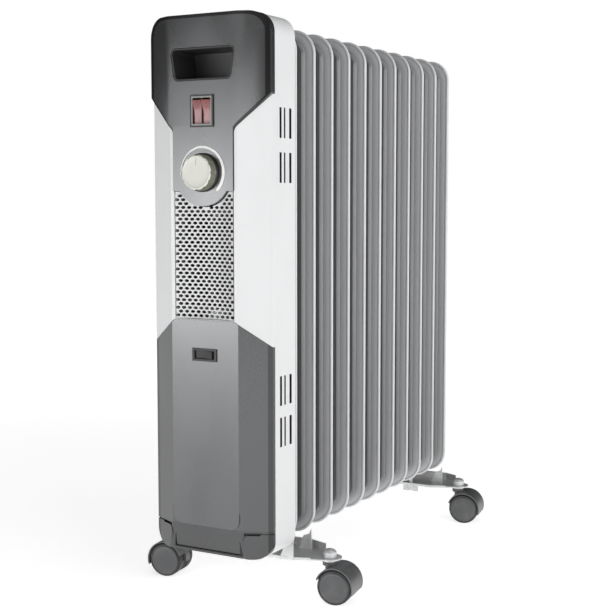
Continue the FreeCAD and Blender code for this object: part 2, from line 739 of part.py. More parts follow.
casing_outer = box("casing_outer", ("-dims.casing_half", behind("dims.casing_front"), "dims.fan_low"),
                   ("2 * dims.casing_half", "dims.casing_back - dims.casing_front",
                    "dims.fan_high - dims.fan_low"))
casing_inner = box("casing_inner", ("dims.casing_wall - dims.casing_half", behind("dims.casing_front - 2"),
                                    "dims.fan_low + dims.casing_wall"),
                   ("2 * (dims.casing_half - dims.casing_wall)",
                    "dims.casing_back - dims.casing_front + 2 - dims.casing_wall",
                    "dims.fan_high - dims.fan_low - 2 * dims.casing_wall"))
casing_inlet = box("casing_inlet", ("-24", behind("dims.casing_back - 3"), "dims.fan_low + 12"),
                   ("48", "6", "dims.fan_high - dims.fan_low - 24"))
casing_bearing = cylinder("casing_bearing", "3.5", "120", ("0", behind("dims.fan_axis_y"), "325"))
fan_casing = finished(cut("fan_casing", casing_outer, casing_inner, casing_inlet, casing_bearing))

BLADES = 18
wheel_low = "dims.fan_low + 5"
wheel_height = "dims.fan_high - dims.fan_low - 10"
fan_discs = [cylinder(f"fan_disc_{end}", "dims.fan_radius", "1.2",
                      ("0", behind("dims.fan_axis_y"), level))
             for end, level in (("low", wheel_low), ("high", f"{wheel_low} + {wheel_height} - 1.2"))]
fan_shaft = cylinder("fan_shaft", "2", "dims.fan_high - 308",
                     ("0", behind("dims.fan_axis_y"), "310"))
blades = []
for number in range(BLADES):
    angle = 360 * number / BLADES
    blade = doc.addObject("Part::Box", f"fan_blade_{number}")
    blade.Placement = Placement(Vector(), Rotation(Vector(0, 0, 1), angle + 35))
    bind(blade, Length="3", Width="0.7", Height=wheel_height)
    reach = "(dims.fan_radius - 3.4) * "
    place(blade, f"{reach}{math.cos(math.radians(angle))}",
          behind(f"dims.fan_axis_y + {reach}{math.sin(math.radians(angle))}"), wheel_low)
    blades.append(blade)
fan_impeller = finished(fuse("fan_impeller", *fan_discs, fan_shaft, *blades))

motor = turned("fan_motor", [
    ("0", "-25"), ("13.6", "-25"), ("15", "-23.6"), ("15", "-3"), ("9", "-3"), ("9", "0"), ("3.6", "0"),
    ("3.6", "-3"), ("2 + dims.fit_gap", "-3"), ("2 + dims.fit_gap", "-21"), ("0", "-21")])
fan_motor = finished(place(motor, "0", behind("dims.fan_axis_y"), "dims.fan_low"))

frame_outer = box("frame_outer", ("-33", behind("9"), "dims.fan_low"), ("66", "7", "106"))
frame_inner = box("frame_inner", ("-30", behind("8"), "dims.fan_low + 4"), ("60", "9", "98"))
HEATER_WIRES = 9
wires = [cylinder(f"heater_wire_{number}", "1.5", "63",
                  ("-31.5", behind("12.2"), f"dims.fan_low + 9 + {number} * 11"), "X")
         for number in range(HEATER_WIRES)]
fan_heater = finished(fuse("fan_heater", cut("heater_frame", frame_outer, frame_inner), *wires))

# fins: two pressed sheets with a rolled rim, three oil channels and two header openings

FIN_COUNT = 11
fin_form = body("fin_form")
rim_path = sketch(fin_form, "XZ_Plane", "0")
add_rounded(rim_path, "-(dims.fin_half - dims.fin_rim)", "dims.fin_half - dims.fin_rim",
            "dims.fin_low + dims.fin_rim", "dims.fin_high - dims.fin_rim", "dims.fin_corner - dims.fin_rim")
pad(fin_form, rim_path, "dims.fin_plate", midplane=True)
relief = sketch(fin_form, "XZ_Plane", "0")
add_rounded(relief, "-dims.relief_half", "dims.relief_half", "dims.fin_low + dims.relief_end",
            "dims.fin_high - dims.relief_end", "dims.relief_corner")
pad(fin_form, relief, "dims.relief_thick", midplane=True)
relief_face = measure("dims.relief_thick / 2")
soften(fin_form, "Chamfer", "dims.relief_slope", any_of(edge_at(y=relief_face), edge_at(y=-relief_face)))
rim_section = sketch(fin_form, "XY_Plane", "(dims.fin_low + dims.fin_high) / 2")
add_circle(rim_section, "dims.fin_half - dims.fin_rim", "0", "dims.fin_rim")
rim = fin_form.newObject("PartDesign::AdditivePipe", "fin_rim")
rim.Profile = rim_section
rim.Spine = (rim_path, [f"Edge{number}" for number in range(1, 9)])
fin_form.Tip = rim

cavity_form = body("cavity_form")
cavity_sketch = sketch(cavity_form, "XZ_Plane", "0")
add_rounded(cavity_sketch, "-(dims.relief_half - 2 * dims.sheet)", "dims.relief_half - 2 * dims.sheet",
            "dims.fin_low + dims.relief_end + 2 * dims.sheet",
            "dims.fin_high - dims.relief_end - 2 * dims.sheet", "dims.relief_corner - 2 * dims.sheet")
pad(cavity_form, cavity_sketch, "dims.relief_thick - 2 * dims.sheet", midplane=True)
cavity_face = measure("dims.relief_thick / 2 - dims.sheet")
soften(cavity_form, "Chamfer", "dims.relief_slope - 0.3",
       any_of(edge_at(y=cavity_face), edge_at(y=-cavity_face)))


def groove(name, side, widen, near, depth):
    """One of the two upright grooves that part the oil channels."""
    return prism_y(name, [("rounded",
                           f"{side} * dims.groove_middle - dims.groove_width / 2 - ({widen})",
                           f"{side} * dims.groove_middle + dims.groove_width / 2 + ({widen})",
                           f"dims.fin_low + dims.groove_end - ({widen})",
                           f"dims.fin_high - dims.groove_end + ({widen})",
                           f"dims.groove_width / 2 - 0.01 + ({widen})")], near, depth)


grooves = []
for side, letter in ((-1, "left"), (1, "right")):
    for face, near in (("front", "-dims.relief_thick / 2 - 1"),
                       ("back", "dims.relief_thick / 2 - dims.groove_depth")):
        grooves.append(groove(f"groove_{letter}_{face}", side, "0", near, "dims.groove_depth + 1"))
webs = [groove(f"web_{letter}", side, "dims.sheet", "-10", "20") for side, letter in ((-1, "l"), (1, "r"))]
header_holes = []
for level in ("low", "high"):
    at = ("0", "-15", f"dims.header_{level}")
    header_holes.append(cylinder(f"header_hole_{level}", "dims.header_bore", "30", at, "Y"))
oil_space = cut("oil_space", cavity_form, *webs)
fin_blank = cut("fin_blank", fin_form, *grooves, oil_space, *header_holes)

for number in range(FIN_COUNT):
    fin = group(f"fin_{number + 1:02d}", [fin_blank])
    finished(place(fin, "0", behind(f"dims.fin_first + {number} * dims.fin_pitch"), "0"))

# headers: collars between the fins, end caps and the filler plug

collars = []
for number in range(FIN_COUNT - 1):
    start = behind(f"dims.fin_first + {number} * dims.fin_pitch + dims.relief_thick / 2")
    length = "dims.fin_pitch - dims.relief_thick"
    for level in ("low", "high"):
        name = f"collar_{level}_{number + 1:02d}"
        at = ("0", start, f"dims.header_{level}")
        outside = cylinder(f"{name}_outside", "dims.collar_radius", length, at, "Y")
        inside = cylinder(f"{name}_inside", "dims.header_bore", length, at, "Y")
        collars.append(cut(name, outside, inside))
header_collars = finished(group("header_collars", collars))

fin_front = "dims.fin_first - dims.relief_thick / 2"
fin_rear = f"dims.fin_first + {FIN_COUNT - 1} * dims.fin_pitch + dims.relief_thick / 2"
shield_rear = "dims.shield_front + dims.shield_thick"
front_cap = cylinder("front_cap", "dims.collar_radius", f"{fin_front} - ({shield_rear})",
                     ("0", behind(shield_rear), "dims.header_high"), "Y")
rear_caps = []
for level in ("low", "high"):
    cap = turned(f"rear_cap_{level}", [("0", "0"), ("dims.collar_radius", "0"), ("dims.collar_radius", "2"),
                                       ("dims.collar_radius - 4", "4.5"), ("0", "5.5")], "Y")
    rear_caps.append(place(cap, "0", behind(fin_rear), f"dims.header_{level}"))
plug_flats = doc.addObject("Part::Prism", "plug_flats")
plug_flats.Polygon = 6
plug_flats.Placement = Placement(Vector(), ALONG["Y"])
bind(plug_flats, Circumradius="8", Height="9")
place(plug_flats, "0", behind(f"{fin_rear} + 3"), "dims.header_high")
plugged_cap = fuse("plugged_cap", rear_caps[1], plug_flats)
header_end_caps = finished(group("header_end_caps", [front_cap, rear_caps[0], plugged_cap]))

# immersed elements: two hairpin tubes brazed into one flange with four terminals

element_shapes = [cylinder("element_flange", "dims.flange_radius", f"{fin_front} - ({shield_rear})",
                           ("0", behind(shield_rear), "dims.header_low"), "Y"),
                  cylinder("element_boss", "16", "12", ("0", behind("50"), "dims.header_low"), "Y")]
for level in (-1, 1):
    height = f"dims.header_low + {level} * dims.tube_offset"
    for side in (-1, 1):
        element_shapes.append(cylinder(f"tube_{level}_{side}", "dims.tube_radius", "dims.tube_length + 28",
                                       (f"{side} * dims.tube_offset", behind("48"), height), "Y"))
    bend = doc.addObject("Part::Torus", f"bend_{level}")
    bend.Angle3 = 180
    bind(bend, Radius1="dims.tube_offset", Radius2="dims.tube_radius")
    element_shapes.append(place(bend, "0", behind("dims.tube_length + 76"), height))
heating_elements = finished(fuse("heating_elements", *element_shapes))

# shield, screws and the parts fixed to the shield

shield_sheet = prism_y("shield_sheet", [("rounded", "-72", "72", "66", "637", "17")],
                       behind("dims.shield_front"), "dims.shield_thick")
shield_holes = [cylinder("shield_flange_hole", "16.4", "6", ("0", behind("56"), "dims.header_low"), "Y")]
for number, (side, level) in enumerate(SCREWS):
    shield_holes.append(cylinder(f"shield_screw_{number}", "dims.screw_radius + 0.3", "6",
                                 (f"{side} * dims.screw_x", behind("56"), level), "Y"))
SHIELD_SLOTS = 7
for number in range(SHIELD_SLOTS):
    for side in (-1, 1):
        at = (f"{side} * 45 - 12", behind("56"), f"190 + {number} * 52")
        shield_holes.append(box(f"shield_slot_{number}_{side}", at, ("24", "6", "8")))
heat_shield = finished(cut("heat_shield", shield_sheet, *shield_holes))

screws = []
for number, (side, level) in enumerate(SCREWS):
    screw = turned(f"cover_screw_{number}", [("0", "-14"), ("dims.screw_radius", "-13"),
                                             ("dims.screw_radius", "0"), ("3.6", "0"), ("3.1", "1.8"),
                                             ("0", "2.3")], "Y")
    screws.append(place(screw, f"{side} * dims.screw_x", behind(shield_rear), level))
cover_screws = finished(group("cover_screws", screws))

terminal_base = box("terminal_base", ("-30", behind("44"), "226"), ("60", "14", "20"))
terminal_channels = []
for number in range(4):
    at = (f"{number} * 14 - 26", behind("42"), "224")
    terminal_channels.append(box(f"terminal_channel_{number}", at, ("10", "8", "24")))
terminal_block = finished(cut("terminal_block", terminal_base, *terminal_channels))

cutout_can = cylinder("cutout_can", "8", "7", ("45", behind("51"), "515"), "Y")
cutout_ears = box("cutout_ears", ("32", behind("57"), "512"), ("26", "1", "6"))
thermal_cutout = finished(fuse("thermal_cutout", cutout_can, cutout_ears))

gland = turned("cord_gland", [
    ("dims.gland_bore", "-5"), ("8", "-5"), ("9.5", "-3.6"), ("11", "-3.4"), ("11", "0"), ("8", "0"),
    ("8", "dims.wall"), ("11", "dims.wall"), ("11", "dims.wall + 6"), ("dims.gland_bore", "dims.wall + 6")])
cord_gland = finished(place(gland, "0", behind("dims.gland_y"), "dims.housing_bottom"))

# tilt switch: an open box with a weighted pendulum that swings across the heater

tilt_outer = box("tilt_outer", ("dims.tilt_x - 15", behind("dims.tilt_y - 8"), "dims.tilt_z - 34"),
                 ("30", "32", "44"))
tilt_inner = box("tilt_inner", ("dims.tilt_x - 13", behind("dims.tilt_y - 9"), "dims.tilt_z - 32"),
                 ("26", "18", "40"))
tilt_pin = cylinder("tilt_pin", "1.5", "16", ("dims.tilt_x", behind("dims.tilt_y - 7"), "dims.tilt_z"), "Y")
tilt_switch_body = finished(fuse("tilt_switch_body", cut("tilt_case", tilt_outer, tilt_inner), tilt_pin))
bob_arm = box("bob_arm", ("dims.tilt_x - 2", behind("dims.tilt_y - 4"), "dims.tilt_z - 22"), ("4", "4", "24"))
bob = cylinder("bob", "6", "8", ("dims.tilt_x", behind("dims.tilt_y - 6"), "dims.tilt_z - 22"), "Y")
bob_eye = cylinder("bob_eye", "3.6", "4", ("dims.tilt_x", behind("dims.tilt_y - 4"), "dims.tilt_z"), "Y")
bob_hole = cylinder("bob_hole", "1.5 + dims.fit_gap", "20",
                    ("dims.tilt_x", behind("dims.tilt_y - 14"), "dims.tilt_z"), "Y")
tilt_pendulum = finished(cut("tilt_pendulum", fuse("bob_blank", bob_arm, bob, bob_eye), bob_hole))


# feet: a pressed strip with a low front lip, a tall rear flange and trapezium tabs under the fins

ROD_X = "(dims.collar_radius + dims.rod_radius + 0.5)"


def wing_flange(name, stem_x, middle, sign, height):
    """The flange's slanting continuations that follow the strip's tapered ends for two thirds."""
    run = f"(({stem_x}) - dims.foot_neck) * 0.62"
    far_outer = "(dims.foot_half - (dims.foot_half - dims.foot_end) * 0.62)"
    pieces = []
    for side in (-1, 1):
        far = f"{side} * (dims.foot_neck + {run})"
        outer = [(f"{side} * dims.foot_neck", f"{sign} * dims.foot_half"),
                 (far, f"{sign} * {far_outer}"),
                 (far, f"{sign} * ({far_outer} - dims.foot_sheet)"),
                 (f"{side} * dims.foot_neck", f"{sign} * (dims.foot_half - dims.foot_sheet)")]
        wing = prism_z(f"{name}_wing_{'l' if side < 0 else 'r'}", [outer], "dims.foot_z", height)
        pieces.append(place(wing, "0", middle, "0"))
    return pieces


def foot(name, stem_x, middle, clamp_shift, fin_shifts):
    plan = [("-dims.foot_neck", "-dims.foot_half"), ("dims.foot_neck", "-dims.foot_half"),
            (stem_x, "-dims.foot_end"), (stem_x, "dims.foot_end"), ("dims.foot_neck", "dims.foot_half"),
            ("-dims.foot_neck", "dims.foot_half"), (f"-({stem_x})", "dims.foot_end"),
            (f"-({stem_x})", "-dims.foot_end")]
    strip = place(prism_z(f"{name}_strip", [plan], "dims.foot_z", "dims.foot_sheet"), "0", middle, "0")
    pieces = [strip]
    for side in (-1, 1):
        pieces.append(cylinder(f"{name}_end_{side}", "dims.foot_end", "dims.foot_sheet",
                               (f"{side} * ({stem_x})", middle, "dims.foot_z")))
    for face, edge, height in (("lip", "-dims.foot_half", "dims.front_lip"),
                               ("flange", "dims.foot_half - dims.foot_sheet", "dims.rear_flange")):
        pieces.append(box(f"{name}_{face}", ("-dims.foot_neck", f"{middle} + {edge}", "dims.foot_z"),
                          ("2 * dims.foot_neck", "dims.foot_sheet", height)))
        sign = -1 if face == "lip" else 1
        pieces.extend(wing_flange(f"{name}_{face}", stem_x, middle, sign, height))
    for number, shift in enumerate(fin_shifts):
        for side in (-1, 1):
            tab = prism_y(f"{name}_tab_{number}_{side}",
                          [[(f"{side} * 53", "dims.foot_z"), (f"{side} * 71", "dims.foot_z"),
                            (f"{side} * 70", "dims.fin_low + 7"), (f"{side} * 67.5", "dims.fin_low + 1.4"),
                            (f"{side} * 60", "dims.fin_low - 1.5")]], f"{middle} + {shift} - 6.5", "2")
            pieces.append(tab)
    holes = []
    for side in (-1, 1):
        holes.append(cylinder(f"{name}_stem_hole_{side}", "dims.stem_radius + dims.fit_gap", "6",
                              (f"{side} * ({stem_x})", middle, "dims.foot_z - 2")))
        holes.append(cylinder(f"{name}_rod_hole_{side}", "dims.rod_radius + 0.4", "6",
                              (f"{side} * {ROD_X}", f"{middle} + {clamp_shift}", "dims.foot_z - 2")))
    return finished(cut(name, fuse(f"{name}_blank", *pieces), *holes))


front_middle = behind("dims.front_foot_y")
rear_middle = behind("dims.rear_foot_y")
foot("front_foot", "dims.front_stem_x", front_middle, "0",
     ("dims.fin_first - dims.front_foot_y", "dims.fin_first + dims.fin_pitch - dims.front_foot_y"))
foot("rear_foot", "dims.rear_stem_x", rear_middle, "dims.rear_clamp_shift",
     (f"dims.fin_first + {FIN_COUNT - 1} * dims.fin_pitch - dims.rear_foot_y",))

u_bolts = []
wing_nuts = []
clamps = (("front", front_middle), ("rear", f"{rear_middle} + dims.rear_clamp_shift"))
for place_name, clamp_y in clamps:
    arch = doc.addObject("Part::Torus", f"{place_name}_arch")
    arch.Placement = Placement(Vector(), Rotation(Vector(1, 0, 0), 90))
    arch.Angle3 = 180
    bind(arch, Radius1=ROD_X, Radius2="dims.rod_radius")
    place(arch, "0", clamp_y, "dims.header_low")
    legs = []
    for side in (-1, 1):
        letter = "l" if side < 0 else "r"
        legs.append(cylinder(f"{place_name}_leg_{letter}", "dims.rod_radius",
                             "dims.header_low - dims.foot_z + 9",
                             (f"{side} * {ROD_X}", clamp_y, "dims.foot_z - 9")))
        hub = cylinder(f"{place_name}_hub_{letter}", "dims.nut_radius", "6",
                       (f"{side} * {ROD_X}", clamp_y, "dims.foot_z - 6"))
        wings = box(f"{place_name}_wings_{letter}",
                    (f"{side} * {ROD_X} - 11", f"{clamp_y} - 1", "dims.foot_z - 10"), ("22", "2", "7"))
        thread = cylinder(f"{place_name}_thread_{letter}", "dims.rod_radius + 0.02", "14",
                          (f"{side} * {ROD_X}", clamp_y, "dims.foot_z - 12"))
        wing_nuts.append(cut(f"{place_name}_wing_nut_{letter}",
                             fuse(f"{place_name}_nut_blank_{letter}", hub, wings), thread))
    u_bolts.append(fuse(f"{place_name}_u_bolt", arch, *legs))
foot_u_bolts = finished(group("foot_u_bolts", u_bolts))
foot_wing_nuts = finished(group("foot_wing_nuts", wing_nuts))

# casters: each hood turns on a fixed stem and carries an axle with two free wheels

CASTERS = {
    "front_right": ("dims.front_stem_x", front_middle, "dims.front_turn", "near", "far"),
    "front_left": ("-dims.front_stem_x", front_middle, "180 + dims.front_turn", "far", "near"),
    "rear_right": ("dims.rear_stem_x", rear_middle, "dims.rear_turn", "near", "far"),
    "rear_left": ("-dims.rear_stem_x", rear_middle, "180 - dims.rear_turn", "far", "near"),
}


def caster_place(item, stem):
    """Puts a caster piece, drawn with its stem on the Z axis, at its corner and turns it there."""
    x, y, turn = stem
    item.Placement = Placement(Vector(), Rotation(Vector(0, 0, 1), measure(turn)))
    item.setExpression("Placement.Rotation.Angle", turn)
    return place(item, x, y, "0")


def local_cylinder(name, radius, length, x, low, high_axis):
    start = (x, low, "dims.wheel_radius") if high_axis == "Y" else (x, "0", low)
    return cylinder(name, radius, length, start, high_axis)


stems = []
for corner, (*stem, first_name, second_name) in CASTERS.items():
    hood_outer = "dims.wheel_radius + dims.hood_clear + dims.hood_wall"
    full_half = "(dims.wheel_offset + dims.wheel_width)"
    shell_out = local_cylinder(f"{corner}_shell", hood_outer, f"2 * {full_half}", "dims.trail",
                               f"-{full_half}", "Y")
    shell_in = local_cylinder(f"{corner}_shell_in", "dims.wheel_radius + dims.hood_clear",
                              f"2 * {full_half} + 2", "dims.trail", f"-{full_half} - 1", "Y")
    skirt_cut = prism_y(f"{corner}_skirt", [[("dims.trail - 40", "-10"), ("dims.trail + 40", "-10"),
                                             ("dims.trail + 40", "7"), ("dims.trail", "20"),
                                             ("dims.trail - 40", "34")]], "-30", "60")
    shroud = cut(f"{corner}_shroud", shell_out, shell_in, skirt_cut)
    web = local_cylinder(f"{corner}_web", hood_outer, "2 * dims.web_half", "dims.trail",
                         "-dims.web_half", "Y")
    trim_outline = [("dims.trail - 40", "-10"), ("dims.trail + 40", "-10"), ("dims.trail + 40", "14"),
                    ("dims.trail + 6", "13"), ("dims.trail - 6", "13"), ("dims.trail - 40", "22")]
    web_trim = prism_y(f"{corner}_web_trim", [trim_outline], "-30", "60")
    core = cut(f"{corner}_core", web, web_trim)
    boss = local_cylinder(f"{corner}_boss", "8", "dims.hood_top - 40.9", "0", "40.9", "Z")
    seat = local_cylinder(f"{corner}_seat", "5", "dims.hood_top - 24", "0", "24", "Z")
    socket = local_cylinder(f"{corner}_socket", "dims.stem_radius + dims.fit_gap", "30", "0", "26", "Z")
    axle_hole = local_cylinder(f"{corner}_axle_hole", "dims.axle_radius", "40", "dims.trail", "-20", "Y")
    hood = cut(f"{corner}_hood", fuse(f"{corner}_hood_blank", shroud, core, boss, seat), socket, axle_hole)
    finished(caster_place(hood, stem))
    axle = turned(f"{corner}_axle", [
        ("0", "-15"), ("dims.axle_radius - 0.5", "-15"), ("dims.axle_radius", "-14.5"),
        ("dims.axle_radius", "14.5"), ("dims.axle_radius - 0.5", "15"), ("0", "15")], "Y")
    axle_group = group(f"{corner}_caster_axle", [place(axle, "dims.trail", "0", "dims.wheel_radius")])
    finished(caster_place(axle_group, stem))
    for side, name in ((-1, first_name), (1, second_name)):
        tread = "dims.wheel_radius"
        face = f"{side} * {full_half}"
        inner = f"{side} * dims.wheel_offset"
        wheel = turned(f"{corner}_wheel_{name}_form", [
            ("dims.axle_radius + dims.fit_gap", inner), (f"{tread} - 1", inner),
            (tread, f"{inner} + {side}"), (tread, f"{face} - {side} * 2"), (f"{tread} - 1.6", face),
            (f"{tread} - 3", face), (f"{tread} - 3.6", f"{face} - {side} * 0.8"),
            ("6", f"{face} - {side} * 0.4"), ("0", f"{face} - {side} * 0.3"),
            ("0", f"{side} * 15.4"), ("dims.axle_radius + dims.fit_gap", f"{side} * 15.4")], "Y")
        wheel_group = group(f"{corner}_wheel_{name}", [place(wheel, "dims.trail", "0", "dims.wheel_radius")])
        finished(caster_place(wheel_group, stem))
    pin = turned(f"{corner}_stem", [
        ("0", "27"), ("dims.stem_radius - 0.6", "27"), ("dims.stem_radius", "27.6"),
        ("dims.stem_radius", "44.6"), ("7.2", "44.6"), ("7.2", "dims.foot_z"),
        ("dims.stem_radius", "dims.foot_z"),
        ("dims.stem_radius", "dims.foot_z + dims.foot_sheet"), ("8", "dims.foot_z + dims.foot_sheet"),
        ("8", "dims.foot_z + 7.4"), ("6.4", "dims.foot_z + 9.6"), ("3", "dims.foot_z + 11"),
        ("0", "dims.foot_z + 11.2")])
    stems.append(caster_place(pin, stem))
caster_stems = finished(group("caster_stems", stems))

# check everything, then write one file for each sub-part

doc.recompute()
for item in doc.Objects:
    if "Invalid" in item.State or "Error" in item.State:
        raise RuntimeError(f"{item.Name} failed: {item.State}")
os.makedirs("parts", exist_ok=True)
for item in nodes:
    if item.Shape.isNull() or not item.Shape.isValid():
        raise RuntimeError(f"{item.Label} has no valid shape")
    item.Shape.exportStep(f"parts/{item.Label}.step")
print(f"{len(nodes)} sub-parts written")
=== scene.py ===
import json
import math

import bmesh
import bpy
from mathutils import Matrix, Vector


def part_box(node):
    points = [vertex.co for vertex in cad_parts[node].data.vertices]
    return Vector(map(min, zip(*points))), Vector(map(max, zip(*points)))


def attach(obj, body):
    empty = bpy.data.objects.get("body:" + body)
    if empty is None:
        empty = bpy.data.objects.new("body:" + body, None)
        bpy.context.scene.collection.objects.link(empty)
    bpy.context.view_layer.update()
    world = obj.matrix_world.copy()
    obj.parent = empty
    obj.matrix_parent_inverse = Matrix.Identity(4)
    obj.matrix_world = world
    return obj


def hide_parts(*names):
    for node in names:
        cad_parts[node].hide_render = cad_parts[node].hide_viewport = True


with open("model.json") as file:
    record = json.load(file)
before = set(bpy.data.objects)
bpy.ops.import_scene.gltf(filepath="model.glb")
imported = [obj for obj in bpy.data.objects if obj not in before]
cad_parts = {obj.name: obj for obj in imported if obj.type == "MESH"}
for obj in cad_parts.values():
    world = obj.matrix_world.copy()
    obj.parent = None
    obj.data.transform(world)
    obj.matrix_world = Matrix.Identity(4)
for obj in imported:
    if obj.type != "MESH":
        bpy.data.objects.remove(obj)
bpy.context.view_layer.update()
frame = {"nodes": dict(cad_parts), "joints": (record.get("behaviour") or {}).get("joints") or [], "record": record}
MM = 0.001
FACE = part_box("front_cover")[0].y
CHARCOAL = (0.13, 0.132, 0.135)
MOULDED_BLACK = (0.022, 0.022, 0.023)
SHADE_BLACK = (0.012, 0.012, 0.012)
BAND_BLACK = (0.008, 0.008, 0.009)


# shader and geometry graphs


class Value:
    """A node's output that Python's operators extend with Math nodes."""

    def __init__(self, graph, socket):
        self.graph = graph
        self.socket = socket

    def math(self, operation, *values):
        return self.graph.add("ShaderNodeMath", {"operation": operation}, dict(enumerate(values)))

    def __add__(self, other):
        return self.math("ADD", self, other)

    def __sub__(self, other):
        return self.math("SUBTRACT", self, other)

    def __rsub__(self, other):
        return self.math("SUBTRACT", other, self)

    def __mul__(self, other):
        return self.math("MULTIPLY", self, other)

    def __truediv__(self, other):
        return self.math("DIVIDE", self, other)

    def __pow__(self, other):
        return self.math("POWER", self, other)

    def __gt__(self, other):
        return self.math("GREATER_THAN", self, other)

    def __lt__(self, other):
        return self.math("LESS_THAN", self, other)

    def __mod__(self, other):
        return self.math("FLOORED_MODULO", self, other)

    def floor(self):
        return self.math("FLOOR", self)

    def size(self):
        return self.math("ABSOLUTE", self)

    def at_least(self, least):
        return self.math("MAXIMUM", self, least)

    def between(self, low, high, start=0.0, end=1.0):
        """The value's smooth change from start to end as it goes from low to high."""
        values = {"Value": self, "From Min": low, "From Max": high, "To Min": start, "To Max": end}
        return self.graph.add("ShaderNodeMapRange", {"interpolation_type": "SMOOTHSTEP"}, values)


class Graph:
    """A node tree that grows one node at a time, settings before values and links."""

    def __init__(self, tree):
        self.tree = tree

    def set(self, node, key, value):
        if isinstance(key, int):
            socket = node.inputs[key]
        else:
            found = [item for item in node.inputs if key in (item.identifier, item.name)]
            socket = next((item for item in found if item.enabled), found[0])
        if isinstance(value, Value):
            self.tree.links.new(value.socket, socket)
        elif socket.type == "RGBA":
            socket.default_value = (*value, 1.0)
        else:
            socket.default_value = value

    def add(self, kind, settings, values, output=None):
        node = self.tree.nodes.new(kind)
        for name, setting in settings.items():
            setattr(node, name, setting)
        for key, value in values.items():
            self.set(node, key, value)
        chosen = output or next((item.name for item in node.outputs if item.enabled), None)
        return Value(self, node.outputs[chosen]) if chosen else node


class Finish(Graph):
    """A material under construction round one Principled shader."""

    def __init__(self, name, **constants):
        self.material = bpy.data.materials.new(name)
        self.material.use_nodes = True
        super().__init__(self.material.node_tree)
        self.tree.nodes.clear()
        self.shader = self.tree.nodes.new("ShaderNodeBsdfPrincipled")
        output = self.tree.nodes.new("ShaderNodeOutputMaterial")
        self.tree.links.new(self.shader.outputs["BSDF"], output.inputs["Surface"])
        self.vary(**constants)
        self.place = self.add("ShaderNodeTexCoord", {}, {}, "Object")

    def vary(self, **values):
        """Sets or links the shader's own sockets."""
        for socket, value in values.items():
            name = socket.replace("_", " ").title().replace("Ior", "IOR")
            self.set(self.shader, name, value)

    def noise(self, size, detail=3.0, roughness=0.55, stretch=(1, 1, 1), twist=0.0):
        """Noise whose features are about size metres across; stretch lengthens them."""
        scale = tuple(1.0 / factor for factor in stretch)
        at = self.add("ShaderNodeMapping", {}, {"Vector": self.place, "Scale": scale})
        values = {"Vector": at, "Scale": 1.0 / size, "Detail": detail, "Roughness": roughness,
                  "Distortion": twist}
        return self.add("ShaderNodeTexNoise", {}, values)

    def cells(self, size, channel):
        """A random value for each cell of about size metres."""
        values = {"Vector": self.place, "Scale": 1.0 / size}
        colour = self.add("ShaderNodeTexVoronoi", {}, values, "Color")
        return self.add("ShaderNodeSeparateColor", {}, {"Color": colour}, channel)

    def mix(self, factor, first, second):
        values = {"Factor_Float": factor, "A_Color": first, "B_Color": second}
        node = self.tree.nodes.new("ShaderNodeMix")
        node.data_type = "RGBA"
        for key, value in values.items():
            self.set(node, key, value)
        return Value(self, next(item for item in node.outputs if item.identifier == "Result_Color"))

    def axis(self, letter):
        return self.add("ShaderNodeSeparateXYZ", {}, {"Vector": self.place}, letter)

    def edges(self, radius=0.0008, sharp=0.25):
        """1 along sharp edges, falling to 0 a radius away from them."""
        rounded = self.add("ShaderNodeBevel", {"samples": 6}, {"Radius": radius})
        true = self.add("ShaderNodeNewGeometry", {}, {}, "Normal")
        turn = self.add("ShaderNodeVectorMath", {"operation": "DOT_PRODUCT"}, {0: rounded, 1: true},
                        "Value")
        return (1.0 - turn).between(0.002, sharp)

    def relief(self, *layers):
        """Stacks (height, depth) pairs into one normal and links it to the shader."""
        normal = None
        for height, depth in layers:
            values = {"Height": height, "Distance": depth, "Strength": 1.0}
            if normal:
                values["Normal"] = normal
            normal = self.add("ShaderNodeBump", {}, values)
        self.set(self.shader, "Normal", normal)
        return self


class Pattern(Graph):
    """A Geometry Nodes tree with named sizes, laid on a piece and turned into plain mesh."""

    def __init__(self, name, **sizes):
        super().__init__(bpy.data.node_groups.new(name, "GeometryNodeTree"))
        self.tree.interface.new_socket("Shape", in_out="INPUT", socket_type="NodeSocketGeometry")
        self.tree.interface.new_socket("Shape", in_out="OUTPUT", socket_type="NodeSocketGeometry")
        self.sizes = {}
        kinds = {int: "NodeSocketInt", float: "NodeSocketFloat", tuple: "NodeSocketVector"}
        for size, value in sizes.items():
            socket = self.tree.interface.new_socket(size, in_out="INPUT",
                                                    socket_type=kinds[type(value)])
            self.sizes[socket.identifier] = value
        entry = self.tree.nodes.new("NodeGroupInput")
        self.shape = Value(self, entry.outputs[0])
        self.size = {name: Value(self, entry.outputs[name]) for name in sizes}

    def lay_on(self, shown, result, finish):
        """Ends the tree, runs it on the piece and leaves the piece as plain mesh."""
        whole = self.add("GeometryNodeRealizeInstances", {}, {"Geometry": result})
        dressed = self.add("GeometryNodeSetMaterial", {}, {"Geometry": whole, "Material": finish})
        end = self.tree.nodes.new("NodeGroupOutput")
        self.tree.links.new(dressed.socket, end.inputs[0])
        modifier = shown.modifiers.new(self.tree.name, "NODES")
        modifier.node_group = self.tree
        for identifier, value in self.sizes.items():
            modifier[identifier] = value
        return plain(shown)


def scaled(colour, factor):
    return tuple(min(1.0, channel * factor) for channel in colour)


